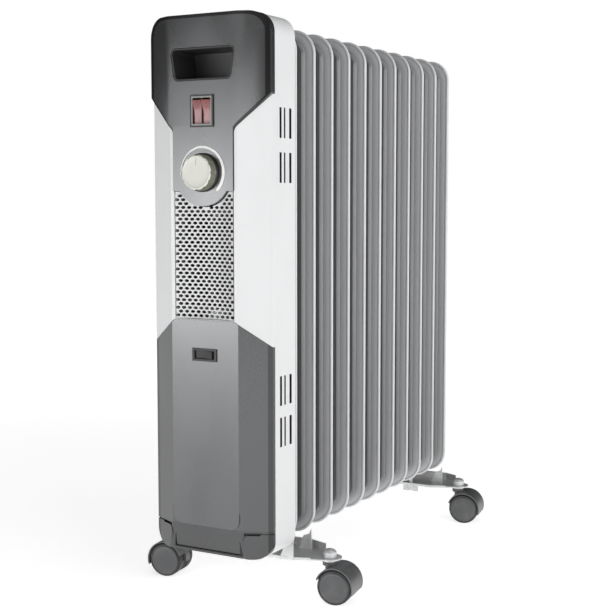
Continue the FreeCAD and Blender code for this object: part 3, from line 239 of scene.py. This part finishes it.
def moulded_plastic(name, colour, roughness=0.38, grain=0.0006, depth=0.00002, shade=0.05,
                    worn=1.25, border=None):
    """Injection moulded plastic: flow shade, fine texture, rubbed edges and a trace of dust.

    border is a mask function and the second colour that its mask paints.
    """
    finish = Finish(name)
    flow = finish.noise(0.09, 4.0, 0.6, (1, 1, 2.2), 0.6)
    body = finish.mix(flow.between(0.3, 0.7), scaled(colour, 1 - shade), scaled(colour, 1 + shade))
    rubbed = finish.edges(0.0007, 0.3) * finish.noise(0.012).between(0.35, 0.65, 0.3, 1.0)
    body = finish.mix(rubbed * 0.55, body, scaled(colour, worn))
    dust = finish.axis("Z").between(0.12, 0.0) * finish.noise(0.02, 5.0).between(0.45, 0.75) * 0.10
    body = finish.mix(dust, body, (0.45, 0.43, 0.40))
    speckle = finish.noise(grain, 2.0)
    smear = finish.noise(0.035, 5.0, 0.65, (1, 1, 1.6))
    finish.vary(base_color=body,
                roughness=smear.between(0.3, 0.7, roughness - 0.05, roughness + 0.07))
    if border:
        mask, second = border
        finish.vary(base_color=finish.mix(mask(finish), body, second))
    return finish.relief((speckle, depth), (finish.noise(0.02, 2.0), 0.00006)).material


def metal_lacquer(name, colour, border):
    """Lacquer with fine metal flake under a satin clear coat.

    border is a mask function for a black band without flake or coat; on the lower panel that band is painted
    shade.
    """
    finish = Finish(name, coat_roughness=0.22, specular_ior_level=0.5)
    glint = finish.cells(0.00045, "Red")
    cloud = finish.noise(0.12, 3.0, 0.5, (1, 1, 2.5))
    body = finish.mix(cloud.between(0.3, 0.7), scaled(colour, 0.95), scaled(colour, 1.05))
    body = finish.mix(glint.between(0.75, 1.0) * 0.05, body, scaled(colour, 2.0))
    rubbed = finish.edges(0.0008, 0.3) * finish.noise(0.01).between(0.4, 0.65, 0.2, 1.0)
    body = finish.mix(rubbed * 0.35, body, scaled(colour, 1.9))
    smear = finish.noise(0.06, 1.5, 0.4, (1, 1, 1.8))
    metallic = glint.between(0.2, 1.0, 0.78, 0.84)
    coat = smear.between(0.2, 0.8, 0.35, 0.5)
    flaked = 1.0 - border(finish)
    # the border mask paints BAND_BLACK, which on the lower panel is painted shade
    body = finish.mix(flaked, BAND_BLACK, body)
    finish.vary(base_color=body, metallic=metallic * flaked, coat_weight=coat * flaked,
                roughness=smear.between(0.3, 0.7, 0.25, 0.33))
    orange_peel = finish.noise(0.0012, 1.0)
    return finish.relief((orange_peel, 0.0000015), (finish.noise(0.04, 1.0), 0.00002)).material


def stove_enamel(name, colour, shadow):
    """Sprayed and baked enamel on pressed sheet: orange peel, thin edges and rolling marks.

    shadow is a mask function for painted shade where the enamel lies deep between sheets and along seams.
    """
    finish = Finish(name, specular_ior_level=0.5, coat_roughness=0.15)
    cloud = finish.noise(0.14, 4.0, 0.55, (1, 1, 3))
    body = finish.mix(cloud.between(0.3, 0.7), scaled(colour, 0.965), scaled(colour, 1.02))
    thin = finish.edges(0.0012, 0.3) * finish.noise(0.01, 4.0).between(0.35, 0.7)
    body = finish.mix(thin * 0.35, body, scaled(colour, 1.12))
    specks = finish.noise(0.0022, 2.0).between(0.74, 0.8)
    body = finish.mix(specks * 0.25, body, scaled(colour, 0.7))
    dust = finish.axis("Z").between(0.2, 0.06) * finish.noise(0.015, 5.0).between(0.4, 0.75) * 0.16
    body = finish.mix(dust, body, (0.42, 0.40, 0.37))
    # painted shade: the enamel darkens towards a tenth of its colour where the shadow mask is 1
    body = finish.mix(shadow(finish), body, scaled(colour, 0.1))
    smear = finish.noise(0.04, 4.0)
    finish.vary(base_color=body, roughness=smear.between(0.3, 0.7, 0.3, 0.42),
                coat_weight=smear.between(0.2, 0.8, 0.15, 0.3))
    peel = finish.noise(0.0018, 2.0, 0.5)
    ripple = finish.noise(0.03, 2.0, 0.5, (1, 1, 5))
    return finish.relief((peel, 0.00004), (ripple, 0.00022)).material


def plated_steel(name, colour, roughness=0.26, metal=1.0, grain=(14, 1, 1), patch=0.004,
                 stain=None):
    """Plated sheet or rod: crystal patches, drawing lines, bright edges and dull handling marks."""
    finish = Finish(name)
    patches = finish.cells(patch, "Green")
    body = finish.mix(patches.between(0.1, 0.9), scaled(colour, 0.97), scaled(colour, 1.03))
    cast = finish.noise(0.03, 4.0).between(0.4, 0.75)
    body = finish.mix(cast * 0.35, body, stain or scaled(colour, 0.82))
    bright = finish.edges(0.0006, 0.3)
    body = finish.mix(bright * 0.6, body, scaled(colour, 1.2))
    drawn = finish.noise(0.0006, 3.0, 0.6, grain)
    dull = finish.noise(0.012, 5.0)
    level = dull.between(0.35, 0.7, roughness - 0.06, roughness + 0.12)
    finish.vary(base_color=body, roughness=level + drawn.between(0.3, 0.7, -0.04, 0.04),
                metallic=dull.between(0.5, 0.8, metal, metal * 0.9))
    return finish.relief((drawn, 0.000006), (finish.noise(0.01, 2.0), 0.00002)).material


def tinted_rocker(name, colour):
    """Red rocker moulding with a swirled tint and paler rubbed edges."""
    finish = Finish(name, specular_ior_level=0.6, coat_roughness=0.08)
    swirl = finish.noise(0.006, 3.0, 0.6, (1, 1, 2.5), 0.8)
    body = finish.mix(swirl.between(0.3, 0.7), scaled(colour, 0.7), scaled(colour, 1.35))
    rubbed = finish.edges(0.0006, 0.25)
    body = finish.mix(rubbed * 0.5, body, (colour[0] * 1.7, colour[1] * 3.4, colour[2] * 3.4))
    finish.vary(base_color=body, roughness=finish.noise(0.004, 4.0).between(0.3, 0.7, 0.16, 0.28),
                coat_weight=swirl.between(0.2, 0.8, 0.08, 0.2))
    return finish.relief((finish.noise(0.0008, 2.0), 0.000012)).material


def print_ink(name, colour):
    """Screen printed ink: slightly uneven cover with pinholes."""
    finish = Finish(name, specular_ior_level=0.4)
    cover = finish.noise(0.0012, 3.0).between(0.2, 0.45)
    body = finish.mix(cover, scaled(colour, 0.72), colour)
    body = finish.mix(finish.noise(0.01, 3.0).between(0.3, 0.7) * 0.2, body, scaled(colour, 0.9))
    finish.vary(base_color=body, roughness=finish.noise(0.003).between(0.3, 0.7, 0.38, 0.5))
    return finish.relief((finish.noise(0.0006, 2.0), 0.00002)).material


def past_corner(beside, above):
    """How far a place lies from a rounded corner's centre, from its distances past it."""
    beside, above = beside.at_least(0.0), above.at_least(0.0)
    return (beside * beside + above * above) ** 0.5


def fin_shadow(finish):
    """Painted shade on the enamel between the fins, by the distance in from their rims."""
    low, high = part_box("fin_01")
    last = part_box("fin_11")[1].y
    radius = 30 * MM
    half_height = (high.z - low.z) / 2
    across = finish.axis("X").size()
    height = (finish.axis("Z") - (low.z + high.z) / 2).size()
    depth = radius - past_corner(across - (high.x - radius), height - (half_height - radius))
    # painted shade on the relief's slope and, deepening inwards, in the gaps between the fins
    painted_slope_shade = depth.between(10.5 * MM, 12 * MM) * depth.between(16 * MM, 14.5 * MM) * 0.25
    painted_gap_shade = depth.between(3 * MM, 20 * MM) * 0.93
    return (painted_slope_shade + painted_gap_shade) * (finish.axis("Y") < last - 4 * MM)


def grille_seam_shade(finish):
    """Painted shade along the grille's side edges, where they meet the cover."""
    seam = 36.8 * MM
    return finish.axis("X").size() > seam


def cap_border(finish):
    """The band along the upper panel's top, chamfers and lower diagonals."""
    half_width, top, radius = 70.8 * MM, 638.4 * MM, 18 * MM
    corner_x, corner_z, slope_x, slope_z = 38.5 * MM, 520.4 * MM, 0.699, 0.715
    band, band_start = 2.3 * MM, 38 * MM
    back = FACE + 12.7 * MM
    across = finish.axis("X").size()
    height = finish.axis("Z")
    outside = past_corner(across - (half_width - radius), height - (top - radius)) > radius
    diagonal = (height - corner_z) * slope_z - (across - corner_x) * slope_x
    along_diagonal = (diagonal < band) * (across > band_start)
    return (outside + along_diagonal).between(0.0, 0.5) * (finish.axis("Y") < back)


def seat_shade(finish):
    """The cover's lip and slot floors that lie in the lower panel's shadow."""
    half_width, top, back = 65 * MM, 92 * MM, FACE + 16 * MM
    low = (finish.axis("X").size() < half_width) * (finish.axis("Z") < top)
    return low * (finish.axis("Y") < back)


def shell_facet_shade(finish):
    """Painted shade on the facets round the lower panel's raised pad and on the band below it, darkest on the
    outer chamfers.
    """
    half_width, bottom, radius = 42.5 * MM, 93 * MM, 11 * MM
    chamfer = 70.6 * MM
    across = finish.axis("X").size()
    height = finish.axis("Z")
    off_pad = past_corner(across - (half_width - radius), bottom + radius - height) > radius
    return off_pad * 0.13 + (height < bottom) * 0.2 + (across > chamfer) * 0.5


def bezel_border(finish):
    """The pale inner border of the double switch's bezel."""
    low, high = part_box("power_switch_frame")
    middle = (low + high) / 2
    rim = 1.7 * MM
    narrow = (finish.axis("X") - middle.x).size() < (high.x - low.x) / 2 - rim
    short = (finish.axis("Z") - middle.z).size() < (high.z - low.z) / 2 - rim
    return narrow * short * (finish.axis("Y") < low.y + 0.3 * MM)


slot_of = {part["node"]: part["material_slot"] for part in frame["record"]["subparts"]}
knob_front, knob_back = (corner.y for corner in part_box("knob"))


def knob_side_shade(finish):
    """Painted shade: 1 on the knob's fluted side, under its pale cap."""
    cap = 1.2 * MM
    return finish.axis("Y") > knob_front + cap


# finishes by the material slots of the record
finishes = {
    "white_plastic": moulded_plastic("white_cover_with_shaded_seats", (0.70, 0.705, 0.71), 0.36,
                                     shade=0.015, worn=1.06, border=(seat_shade, SHADE_BLACK)),
    "black_plastic": moulded_plastic("black_grained_moulding", MOULDED_BLACK, 0.42, 0.0009, 0.00006,
                                     0.15, 2.6),
    # the knob's fluted side gets a painted shade of dark olive grey
    "ivory_plastic": moulded_plastic("ivory_knob_with_grey_side", (0.60, 0.60, 0.55), 0.34,
                                     shade=0.025, worn=1.05,
                                     border=(knob_side_shade, (0.16, 0.16, 0.12))),
    "wheel_plastic": moulded_plastic("grey_wheel_moulding", (0.085, 0.087, 0.09), 0.36, 0.0008,
                                     0.00004, 0.1, 1.9),
    "ceramic_plastic": moulded_plastic("off_white_moulding", (0.70, 0.67, 0.60), 0.5, shade=0.04,
                                       worn=1.1),
    # the fins' enamel carries painted shade in the gaps between the fins
    "fin_enamel": stove_enamel("light_grey_stove_enamel", (0.64, 0.648, 0.66), fin_shadow),
    # the grille's paint carries painted shade along its side edges
    "grille_plate": stove_enamel("silver_grille_paint", (0.58, 0.585, 0.59), grille_seam_shade),
    "scale_print": print_ink("white_scale_ink", (0.86, 0.86, 0.85)),
    "red_rocker": tinted_rocker("red_rocker_moulding", (0.17, 0.010, 0.011)),
    "zinc_steel": plated_steel("bright_zinc_plate", (0.66, 0.665, 0.67), 0.4, 0.55,
                               stain=(0.52, 0.51, 0.47)),
    "galvanised_sheet": plated_steel("galvanised_sheet", (0.15, 0.155, 0.16), 0.42, 0.7,
                                     patch=0.009),
    "heater_wire": plated_steel("oxidised_heater_steel", (0.07, 0.063, 0.06), 0.5, 0.6,
                                stain=(0.06, 0.045, 0.035)),
    "brass": plated_steel("turned_brass", (0.72, 0.52, 0.22), 0.28, grain=(1, 1, 14), patch=0.02),
}
# finishes of single pieces
cap_lacquer = metal_lacquer("charcoal_lacquer_with_black_border", CHARCOAL, cap_border)
shell_lacquer = metal_lacquer("charcoal_lacquer_with_dark_chamfer", CHARCOAL, shell_facet_shade)
bezel_plastic = moulded_plastic("black_bezel_with_pale_border", MOULDED_BLACK, 0.4,
                                border=(bezel_border, (0.24, 0.24, 0.228)))
# painted shade for the vent slots' inner walls, which are white plastic like the cover
slot_shade = moulded_plastic("black_vent_slot", SHADE_BLACK, 0.6)
hood_plastic = moulded_plastic("charcoal_caster_hood", (0.10, 0.102, 0.105), 0.36, 0.0008, 0.00003,
                               0.08, 1.6)
tread_rubber = moulded_plastic("black_wheel_tread", (0.014, 0.014, 0.014), 0.5, 0.0009, 0.00005,
                               0.1, 2.2)


# mesh building


def add_piece(name, mesh):
    shown = bpy.data.objects.new(name, mesh)
    bpy.context.scene.collection.objects.link(shown)
    return shown


def plain(shown):
    """Turns a piece's modifiers into plain mesh."""
    bpy.context.view_layer.update()
    graph = bpy.context.evaluated_depsgraph_get()
    mesh = bpy.data.meshes.new_from_object(shown.evaluated_get(graph), depsgraph=graph)
    shown.modifiers.clear()
    shown.data = mesh
    return shown


def fit(shown, *nodes, finish=None):
    """Dresses a finished piece, lets it stand for CAD nodes and ties it to their body."""
    slot = slot_of[nodes[0]]
    if finish or not shown.data.materials:
        shown.data.materials.clear()
        shown.data.materials.append(finish or finishes[slot])
    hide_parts(*nodes)
    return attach(shown, body_of[nodes[0]])


def merged(node):
    """A clean mesh of a CAD node: corners joined and flat faces made whole."""
    bm = bmesh.new()
    bm.from_mesh(frame["nodes"][node].data)
    bmesh.ops.remove_doubles(bm, verts=bm.verts, dist=2e-6)
    bmesh.ops.dissolve_limit(bm, angle_limit=math.radians(0.5), verts=bm.verts, edges=bm.edges)
    mesh = bpy.data.meshes.new(f"{node}_form")
    bm.to_mesh(mesh)
    bm.free()
    return mesh


def refined(node, width, segments=2):
    """A CAD node's form with its hard edges rounded, so that they catch the light."""
    hard_edge = math.radians(24)
    shown = add_piece(f"{node}_detailed", merged(node))
    shown.data.shade_smooth()
    modifier = shown.modifiers.new("rounded_edges", "BEVEL")
    modifier.width = width
    modifier.segments = segments
    modifier.limit_method = "ANGLE"
    modifier.angle_limit = hard_edge
    modifier.miter_outer = "MITER_ARC"
    flat = shown.modifiers.new("flat_faces", "WEIGHTED_NORMAL")
    flat.mode = "FACE_AREA"
    flat.weight = 100
    return plain(shown)


def paint(shown, second, wanted):
    """Gives the faces that wanted picks a second finish."""
    shown.data.materials.append(second)
    last = len(shown.data.materials) - 1
    for face in shown.data.polygons:
        if wanted(face):
            face.material_index = last
    return shown


def form(name, vertices, faces, smooth=30):
    """A piece from its corners and faces, with faces turned outwards."""
    mesh = bpy.data.meshes.new(name)
    mesh.from_pydata([tuple(v) for v in vertices], [], faces)
    bm = bmesh.new()
    bm.from_mesh(mesh)
    bmesh.ops.remove_doubles(bm, verts=bm.verts, dist=1e-7)
    bmesh.ops.recalc_face_normals(bm, faces=bm.faces)
    bm.to_mesh(mesh)
    bm.free()
    mesh.shade_smooth()
    mesh.set_sharp_from_angle(angle=math.radians(smooth))
    return add_piece(name, mesh)


def ring_faces(rings, count):
    """Faces between following rings of equal count, each ring closed on itself."""
    faces = []
    for ring in range(rings - 1):
        for step in range(count):
            after = (step + 1) % count
            low, high = ring * count, (ring + 1) * count
            faces.append((low + step, low + after, high + after, high + step))
    return faces


def lathe(profile, count):
    """Corners and faces of a form turned about the local Y axis, from (radius, along) in mm."""
    corners = []
    for radius, along in profile:
        for step in range(count):
            angle = 2 * math.pi * step / count
            reach = max(radius, 1e-4) * MM
            corners.append(Vector((reach * math.sin(angle), along * MM, reach * math.cos(angle))))
    return corners, ring_faces(len(profile), count)


def joined(parts):
    """One list of corners and faces from several."""
    corners, faces = [], []
    for part_corners, part_faces in parts:
        shift = len(corners)
        corners.extend(part_corners)
        faces.extend(tuple(index + shift for index in face) for face in part_faces)
    return corners, faces


def moved(part, matrix):
    return [matrix @ corner for corner in part[0]], part[1]


body_of = {member: body for body, members in frame["record"]["behaviour"]["bodies"].items()
           for member in members}
joints = {joint["name"]: joint for joint in frame["joints"]}


def row(shown, name, count, pitch, finish):
    """Repeats a piece along +Y at an even pitch."""
    pattern = Pattern(name, Count=count, Pitch=pitch)
    step = pattern.add("ShaderNodeCombineXYZ", {}, {"Y": pattern.size["Pitch"]})
    line = pattern.add("GeometryNodeMeshLine", {}, {"Count": pattern.size["Count"], "Offset": step})
    copies = pattern.add("GeometryNodeInstanceOnPoints", {},
                         {"Points": line, "Instance": pattern.shape})
    return pattern.lay_on(shown, copies, finish)


# fins and headers

fin_names = [name for name in frame["nodes"] if name.startswith("fin_")]
fin_low, fin_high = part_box("fin_01")
fin_pitch = (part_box("fin_02")[0] - fin_low).y
fins = refined("fin_01", 0.0009, 3)
fins.name = "pressed_fins"
fit(row(fins, "fin_row", len(fin_names), fin_pitch, finishes["fin_enamel"]), *fin_names)

collar_low, collar_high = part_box("header_collars")
collar_radius = collar_high.x / MM
collar_length = (fin_pitch - (fin_high.y - fin_low.y)) / MM
collar_bore = 20
waist = collar_radius - 1.3
bead = collar_radius - 0.6
seam = collar_length / 2
neck_profile = [
    (collar_bore, 0), (collar_radius, 0), (collar_radius - 0.9, 1.6), (waist, 4.5),
    (waist, seam - 1.1), (bead, seam - 0.5), (bead, seam + 0.5), (waist, seam + 1.1),
    (waist, collar_length - 4.5), (collar_radius - 0.9, collar_length - 1.6),
    (collar_radius, collar_length), (collar_bore, collar_length), (collar_bore, 0)]
heights = (collar_low.z + collar_high.x, collar_high.z - collar_high.x)
necks = [moved(lathe(neck_profile, 72), Matrix.Translation((0, fin_high.y, height)))
         for height in heights]
collars = form("header_necks", *joined(necks))
fit(row(collars, "neck_row", len(fin_names) - 1, fin_pitch, finishes["fin_enamel"]),
    "header_collars")
fit(refined("header_end_caps", 0.0008, 3), "header_end_caps")

# housing

for node, width, finish in (
        ("upper_panel", 0.0008, cap_lacquer), ("lower_panel", 0.0006, shell_lacquer),
        ("handle_cup", 0.0009, None), ("power_switch_frame", 0.0004, bezel_plastic),
        ("fan_switch_frame", 0.0004, None), ("power_rocker_left", 0.0004, None),
        ("power_rocker_right", 0.0004, None), ("fan_rocker", 0.0003, None)):
    fit(refined(node, width), node, finish=finish)

# the vent slots in mm: distance behind the face and width, then middles and height
SLOTS = ((33, 4.2), (41.5, 3), (53.4, 4.8))
SLOT_MIDDLES = (528, 481, 243, 198)
SLOT_HEIGHT = 32
SIDE_WALL = 73
MARGIN = 0.1


def lines_a_slot(face):
    """Whether a face of the cover is one of a vent slot's inner walls."""
    x, y, z = (face.center - Vector((0, FACE, 0))) / MM
    if abs(x) < SIDE_WALL or abs(face.normal.x) > 0.5:
        return False
    at_height = any(abs(z - middle) < SLOT_HEIGHT / 2 + MARGIN for middle in SLOT_MIDDLES)
    return at_height and any(abs(y - back) < width / 2 + MARGIN for back, width in SLOTS)


cover = add_piece("front_cover_shell", frame["nodes"]["front_cover"].data.copy())
# the vent slots' inner walls take the black painted shade
paint(fit(cover, "front_cover", finish=finishes["white_plastic"]), slot_shade, lines_a_slot)

# fan grille


def bar_faces(steps):
    """Faces of a bar that has four corners at each of its steps."""
    faces = []
    for a in range(0, steps * 4, 4):
        b = a + 4
        faces += [(a, b, b + 1, a + 1), (a + 2, a + 3, b + 3, b + 2), (a, a + 2, b + 2, b),
                  (a + 1, b + 1, b + 3, a + 3)]
    end = steps * 4
    return faces + [(0, 1, 3, 2), (end, end + 2, end + 3, end + 1)]


def curved_sheet(name, low, high, boss_centre, boss_radius, thick, sag):
    """A sheet bowed in plan whose top edge is hollowed round the dial's boss."""
    columns = 48
    corners = []
    for step in range(columns + 1):
        x = low.x + (high.x - low.x) * step / columns
        reach = boss_radius ** 2 - x ** 2
        top = min(high.z, boss_centre - math.sqrt(reach)) if reach > 0 else high.z
        y = low.y + sag * (1 - (x / high.x) ** 2)
        for back in (0, thick):
            corners.append((x, y + back, low.z))
            corners.append((x, y + back, top))
    return form(name, corners, bar_faces(columns), 40)


def perforate(shown, low, high, boss_centre, finish):
    """Punches staggered oval holes through a sheet that faces -Y."""
    side_rim, top_rim, first_line = 1.9 * MM, 2 * MM, 3.2 * MM
    pattern = Pattern("staggered_holes", Pitch_X=0.007, Pitch_Z=0.00415, Hole_Width=0.0056,
                      Hole_Height=0.0034, Columns=13, Rows=40, Clear=0.0375)
    size = pattern.size
    number = pattern.add("GeometryNodeInputIndex", {}, {})
    column = number % size["Columns"]
    line = (number / size["Columns"]).floor()
    x = (column - 6.0) * size["Pitch_X"] + (line % 2.0) * size["Pitch_X"] * 0.5
    z = line * size["Pitch_Z"] + (low.z + first_line)
    dial = (x * x + (z - boss_centre) * (z - boss_centre)) ** 0.5
    bad = (x.size() > high.x - side_rim) + (dial < size["Clear"]) + (z > high.z - top_rim)
    count = size["Columns"] * size["Rows"]
    points = pattern.add("GeometryNodeMeshLine", {}, {"Count": count, "Offset": (0, 0, 0)})
    spot = pattern.add("ShaderNodeCombineXYZ", {}, {"X": x, "Y": low.y, "Z": z})
    spread = pattern.add("GeometryNodeSetPosition", {}, {"Geometry": points, "Position": spot})
    kept = pattern.add("GeometryNodeDeleteGeometry", {},
                       {"Geometry": spread, "Selection": bad > 0.5})
    punch = pattern.add("GeometryNodeMeshCylinder", {},
                        {"Vertices": 10, "Radius": 0.5, "Depth": 0.03}, "Mesh")
    wide = pattern.add("ShaderNodeCombineXYZ", {},
                       {"X": size["Hole_Width"], "Y": size["Hole_Height"], "Z": 1.0})
    punches = pattern.add("GeometryNodeInstanceOnPoints", {}, {
        "Points": kept, "Instance": punch, "Rotation": (math.pi / 2, 0, 0), "Scale": wide})
    solid = pattern.add("GeometryNodeRealizeInstances", {}, {"Geometry": punches})
    cutting = {"operation": "DIFFERENCE", "solver": "MANIFOLD"}
    pierced = pattern.add("GeometryNodeMeshBoolean", cutting,
                          {"Mesh 1": pattern.shape, "Mesh 2": solid}, "Mesh")
    return pattern.lay_on(shown, pierced, finish)


grille_low, grille_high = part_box("fan_grille")
dial_low, dial_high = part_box("thermostat_shaft")
dial_z = (dial_low.z + dial_high.z) / 2
sheet = curved_sheet("punched_grille", grille_low, grille_high, dial_z, boss_radius=36.5 * MM,
                     thick=1.4 * MM, sag=4.4 * MM)
perforate(sheet, grille_low, grille_high, dial_z, finishes["grille_plate"])
fit(sheet, "fan_grille")

# dial and knob


def wedge_scale(name, height, outer, start, end, thin, thick, low, high):
    """A crescent that widens clockwise from start to end, in degrees from +X towards +Z."""
    steps = 90
    corners = []
    for step in range(steps + 1):
        share = step / steps
        angle = math.radians(start + (end - start) * share)
        full = thin + (thick - thin) * share ** 0.8
        tip = min(1.0, (1 - share) * steps / 5)
        width = full * math.sqrt(max(0.02, 1 - (1 - tip) ** 2))
        middle = outer - full / 2
        for radius in (middle - width / 2, middle + width / 2):
            x, z = radius * math.cos(angle), radius * math.sin(angle)
            corners += [(x, low, height + z), (x, high, height + z)]
    return form(name, corners, bar_faces(steps))


scale_low, scale_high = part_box("dial_scale")
scale = wedge_scale("wedge_scale", dial_z, 28 * MM, 184, -47, 0.9 * MM, 3.6 * MM, scale_low.y,
                    scale_high.y)
fit(scale, "dial_scale")

LOBES = 12
STEPS_A_LOBE = 12
KNOB_STEPS = LOBES * STEPS_A_LOBE
KNOB_PROFILE = [
    (0, 0), (20.6, 0), (20.6, -1.7), (20.3, -2.2), (19.4, -2.7), (19.1, -4.0), (18.9, -6.0),
    (18.8, -9.8), (18.6, -11.2), (18.2, -12.0), (17.5, -12.4), (16.6, -12.5), (15.9, -12.3),
    (15.5, -12.05), (15.2, -12), (8.3, -12), (8, -12), (0, -12)]
MARK_RADII = (15.2, 8.3)
MARK_DEPTH = 0.6 * MM
FLUTE_DEPTH = 0.8
COLLAR = 2.6 * MM
knob_corners, knob_faces = lathe(KNOB_PROFILE, KNOB_STEPS)
for index, corner in enumerate(knob_corners):
    radius, along = KNOB_PROFILE[index // KNOB_STEPS]
    step = index % KNOB_STEPS
    if radius in MARK_RADII and min(step, KNOB_STEPS - step) <= 1:
        corner.y += MARK_DEPTH
    if radius < 17 or along > -3.5:
        continue
    wave = max(0.0, math.cos(2 * math.pi * step / STEPS_A_LOBE)) ** 1.5
    bite = FLUTE_DEPTH * wave * min(1.0, (-along - 3.0) / 2)
    shrink = (radius - bite) / radius
    knob_corners[index] = Vector((corner.x * shrink, corner.y, corner.z * shrink))
at_dial = Matrix.Translation((0, knob_back, dial_z))
knob = form("fluted_knob", *moved((knob_corners, knob_faces), at_dial), 40)
paint(fit(knob, "knob", finish=finishes["ivory_plastic"]), tread_rubber,
      lambda face: face.center.y > knob_back - COLLAR)

# casters


def wheel_part(profile, joint, node):
    """A turned part on a wheel's own axle, its outer face turned away from the hood."""
    pivot = Vector(joint["pos_m"])
    axle = Vector(joint["axis"]).normalized()
    low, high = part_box(node)
    if ((low + high) / 2 - pivot).dot(axle) < 0:
        axle = -axle
    up = Vector((0, 0, 1))
    across = axle.cross(up)
    turn = Matrix((across, axle, up)).transposed().to_4x4()
    return moved(lathe(profile, 72), Matrix.Translation(pivot) @ turn)


WHEEL_PROFILE = [
    (0, 15.4), (3.05, 15.4), (3.05, 5.5), (18.7, 5.5), (19.6, 5.9), (20, 6.8), (20, 15.2),
    (19.7, 16.5), (19.0, 17.3), (18.2, 17.5), (17.8, 17.3), (17.7, 16.5), (17.2, 16.5),
    (17.1, 17.3), (16.7, 17.7), (14, 18.0), (9, 18.3), (4, 18.45), (0, 18.5)]
TREAD_RADIUS = 18.3 * MM
for corner in ("front_left", "front_right", "rear_left", "rear_right"):
    for side in ("near", "far"):
        node = f"{corner}_wheel_{side}"
        joint = joints[f"{corner}_{side}_roll"]
        wheel = form(f"{node}_turned", *wheel_part(WHEEL_PROFILE, joint, node), 40)
        pivot, axle = Vector(joint["pos_m"]), Vector(joint["axis"]).normalized()
        paint(fit(wheel, node, finish=finishes["wheel_plastic"]), tread_rubber,
              lambda face: (face.center - pivot).cross(axle).length > TREAD_RADIUS)
    hood = f"{corner}_hood"
    fit(refined(hood, 0.0005, 3), hood, finish=hood_plastic)

for node, width in (("front_foot", 0.0004), ("rear_foot", 0.0004), ("caster_stems", 0.0005),
                    ("foot_u_bolts", 0.0003), ("foot_wing_nuts", 0.0005)):
    fit(refined(node, width, 3), node)

# everything not rebuilt keeps its CAD form under its own finish

for node, shown in frame["nodes"].items():
    if not shown.hide_render:
        shown.data.materials.clear()
        shown.data.materials.append(finishes[slot_of[node]])

# studio


def soft_light(name, place, target, width, height, power):
    lamp = bpy.data.lights.new(name, "AREA")
    lamp.shape = "RECTANGLE"
    lamp.size = width
    lamp.size_y = height
    lamp.energy = power
    light = bpy.data.objects.new(name, lamp)
    light.location = place
    light.rotation_euler = (Vector(target) - Vector(place)).to_track_quat("-Z", "Y").to_euler()
    bpy.context.scene.collection.objects.link(light)


def studio_floor():
    """A wide pale floor that glows a little more away from the heater, so it ends in white."""
    half, near_glow = 40, 0.72
    glow_start, glow_end = 0.4, 2.2
    mesh = bpy.data.meshes.new("studio_floor")
    mesh.from_pydata([(-half, -half, 0), (half, -half, 0), (half, half, 0), (-half, half, 0)], [],
                     [(0, 1, 2, 3)])
    paper = Finish("pale_studio_paper", specular_ior_level=0.1, emission_strength=1.0)
    mottle = paper.noise(0.4, 3.0)
    pale = paper.mix(mottle, (0.93, 0.93, 0.93), (0.95, 0.95, 0.95))
    away = (paper.axis("X") * paper.axis("X") + paper.axis("Y") * paper.axis("Y")) ** 0.5
    glow = paper.mix(away.between(glow_start, glow_end), (near_glow,) * 3, (1, 1, 1))
    paper.vary(base_color=pale, emission_color=glow, roughness=0.9)
    mesh.materials.append(paper.material)
    add_piece("studio_floor", mesh)


studio_floor()
world = bpy.data.worlds.new("studio_air")
world.use_nodes = True
background = world.node_tree.nodes["Background"]
background.inputs["Color"].default_value = (1, 1, 1, 1)
background.inputs["Strength"].default_value = 1.0
world.cycles_visibility.diffuse = False
world.cycles_visibility.glossy = False
bpy.context.scene.world = world
bpy.context.scene.view_settings.view_transform = "Standard"

soft_light("key_softbox", (2.1, FACE - 1.1, 0.75), (0, FACE + 0.1, 0.34), 1.1, 1.5, 14)
soft_light("side_softbox", (2.2, 0.15, 0.7), (0, 0.05, 0.34), 2.6, 1.4, 20)
soft_light("front_softbox", (-0.7, FACE - 2.0, 0.34), (-0.1, FACE, 0.42), 2.2, 0.5, 18)
soft_light("overhead_softbox", (0.3, 0, 2.4), (0, 0, 0), 2.4, 2.4, 15)

lens = bpy.data.cameras.new("camera")
lens.lens = 73.2
lens.sensor_width = 36
camera = bpy.data.objects.new("camera", lens)
camera.location = (0.74887, FACE - 1.11026, 0.45152)
camera.rotation_euler = (math.radians(84.89), 0, math.radians(29.27))
bpy.context.scene.collection.objects.link(camera)
bpy.context.scene.camera = camera
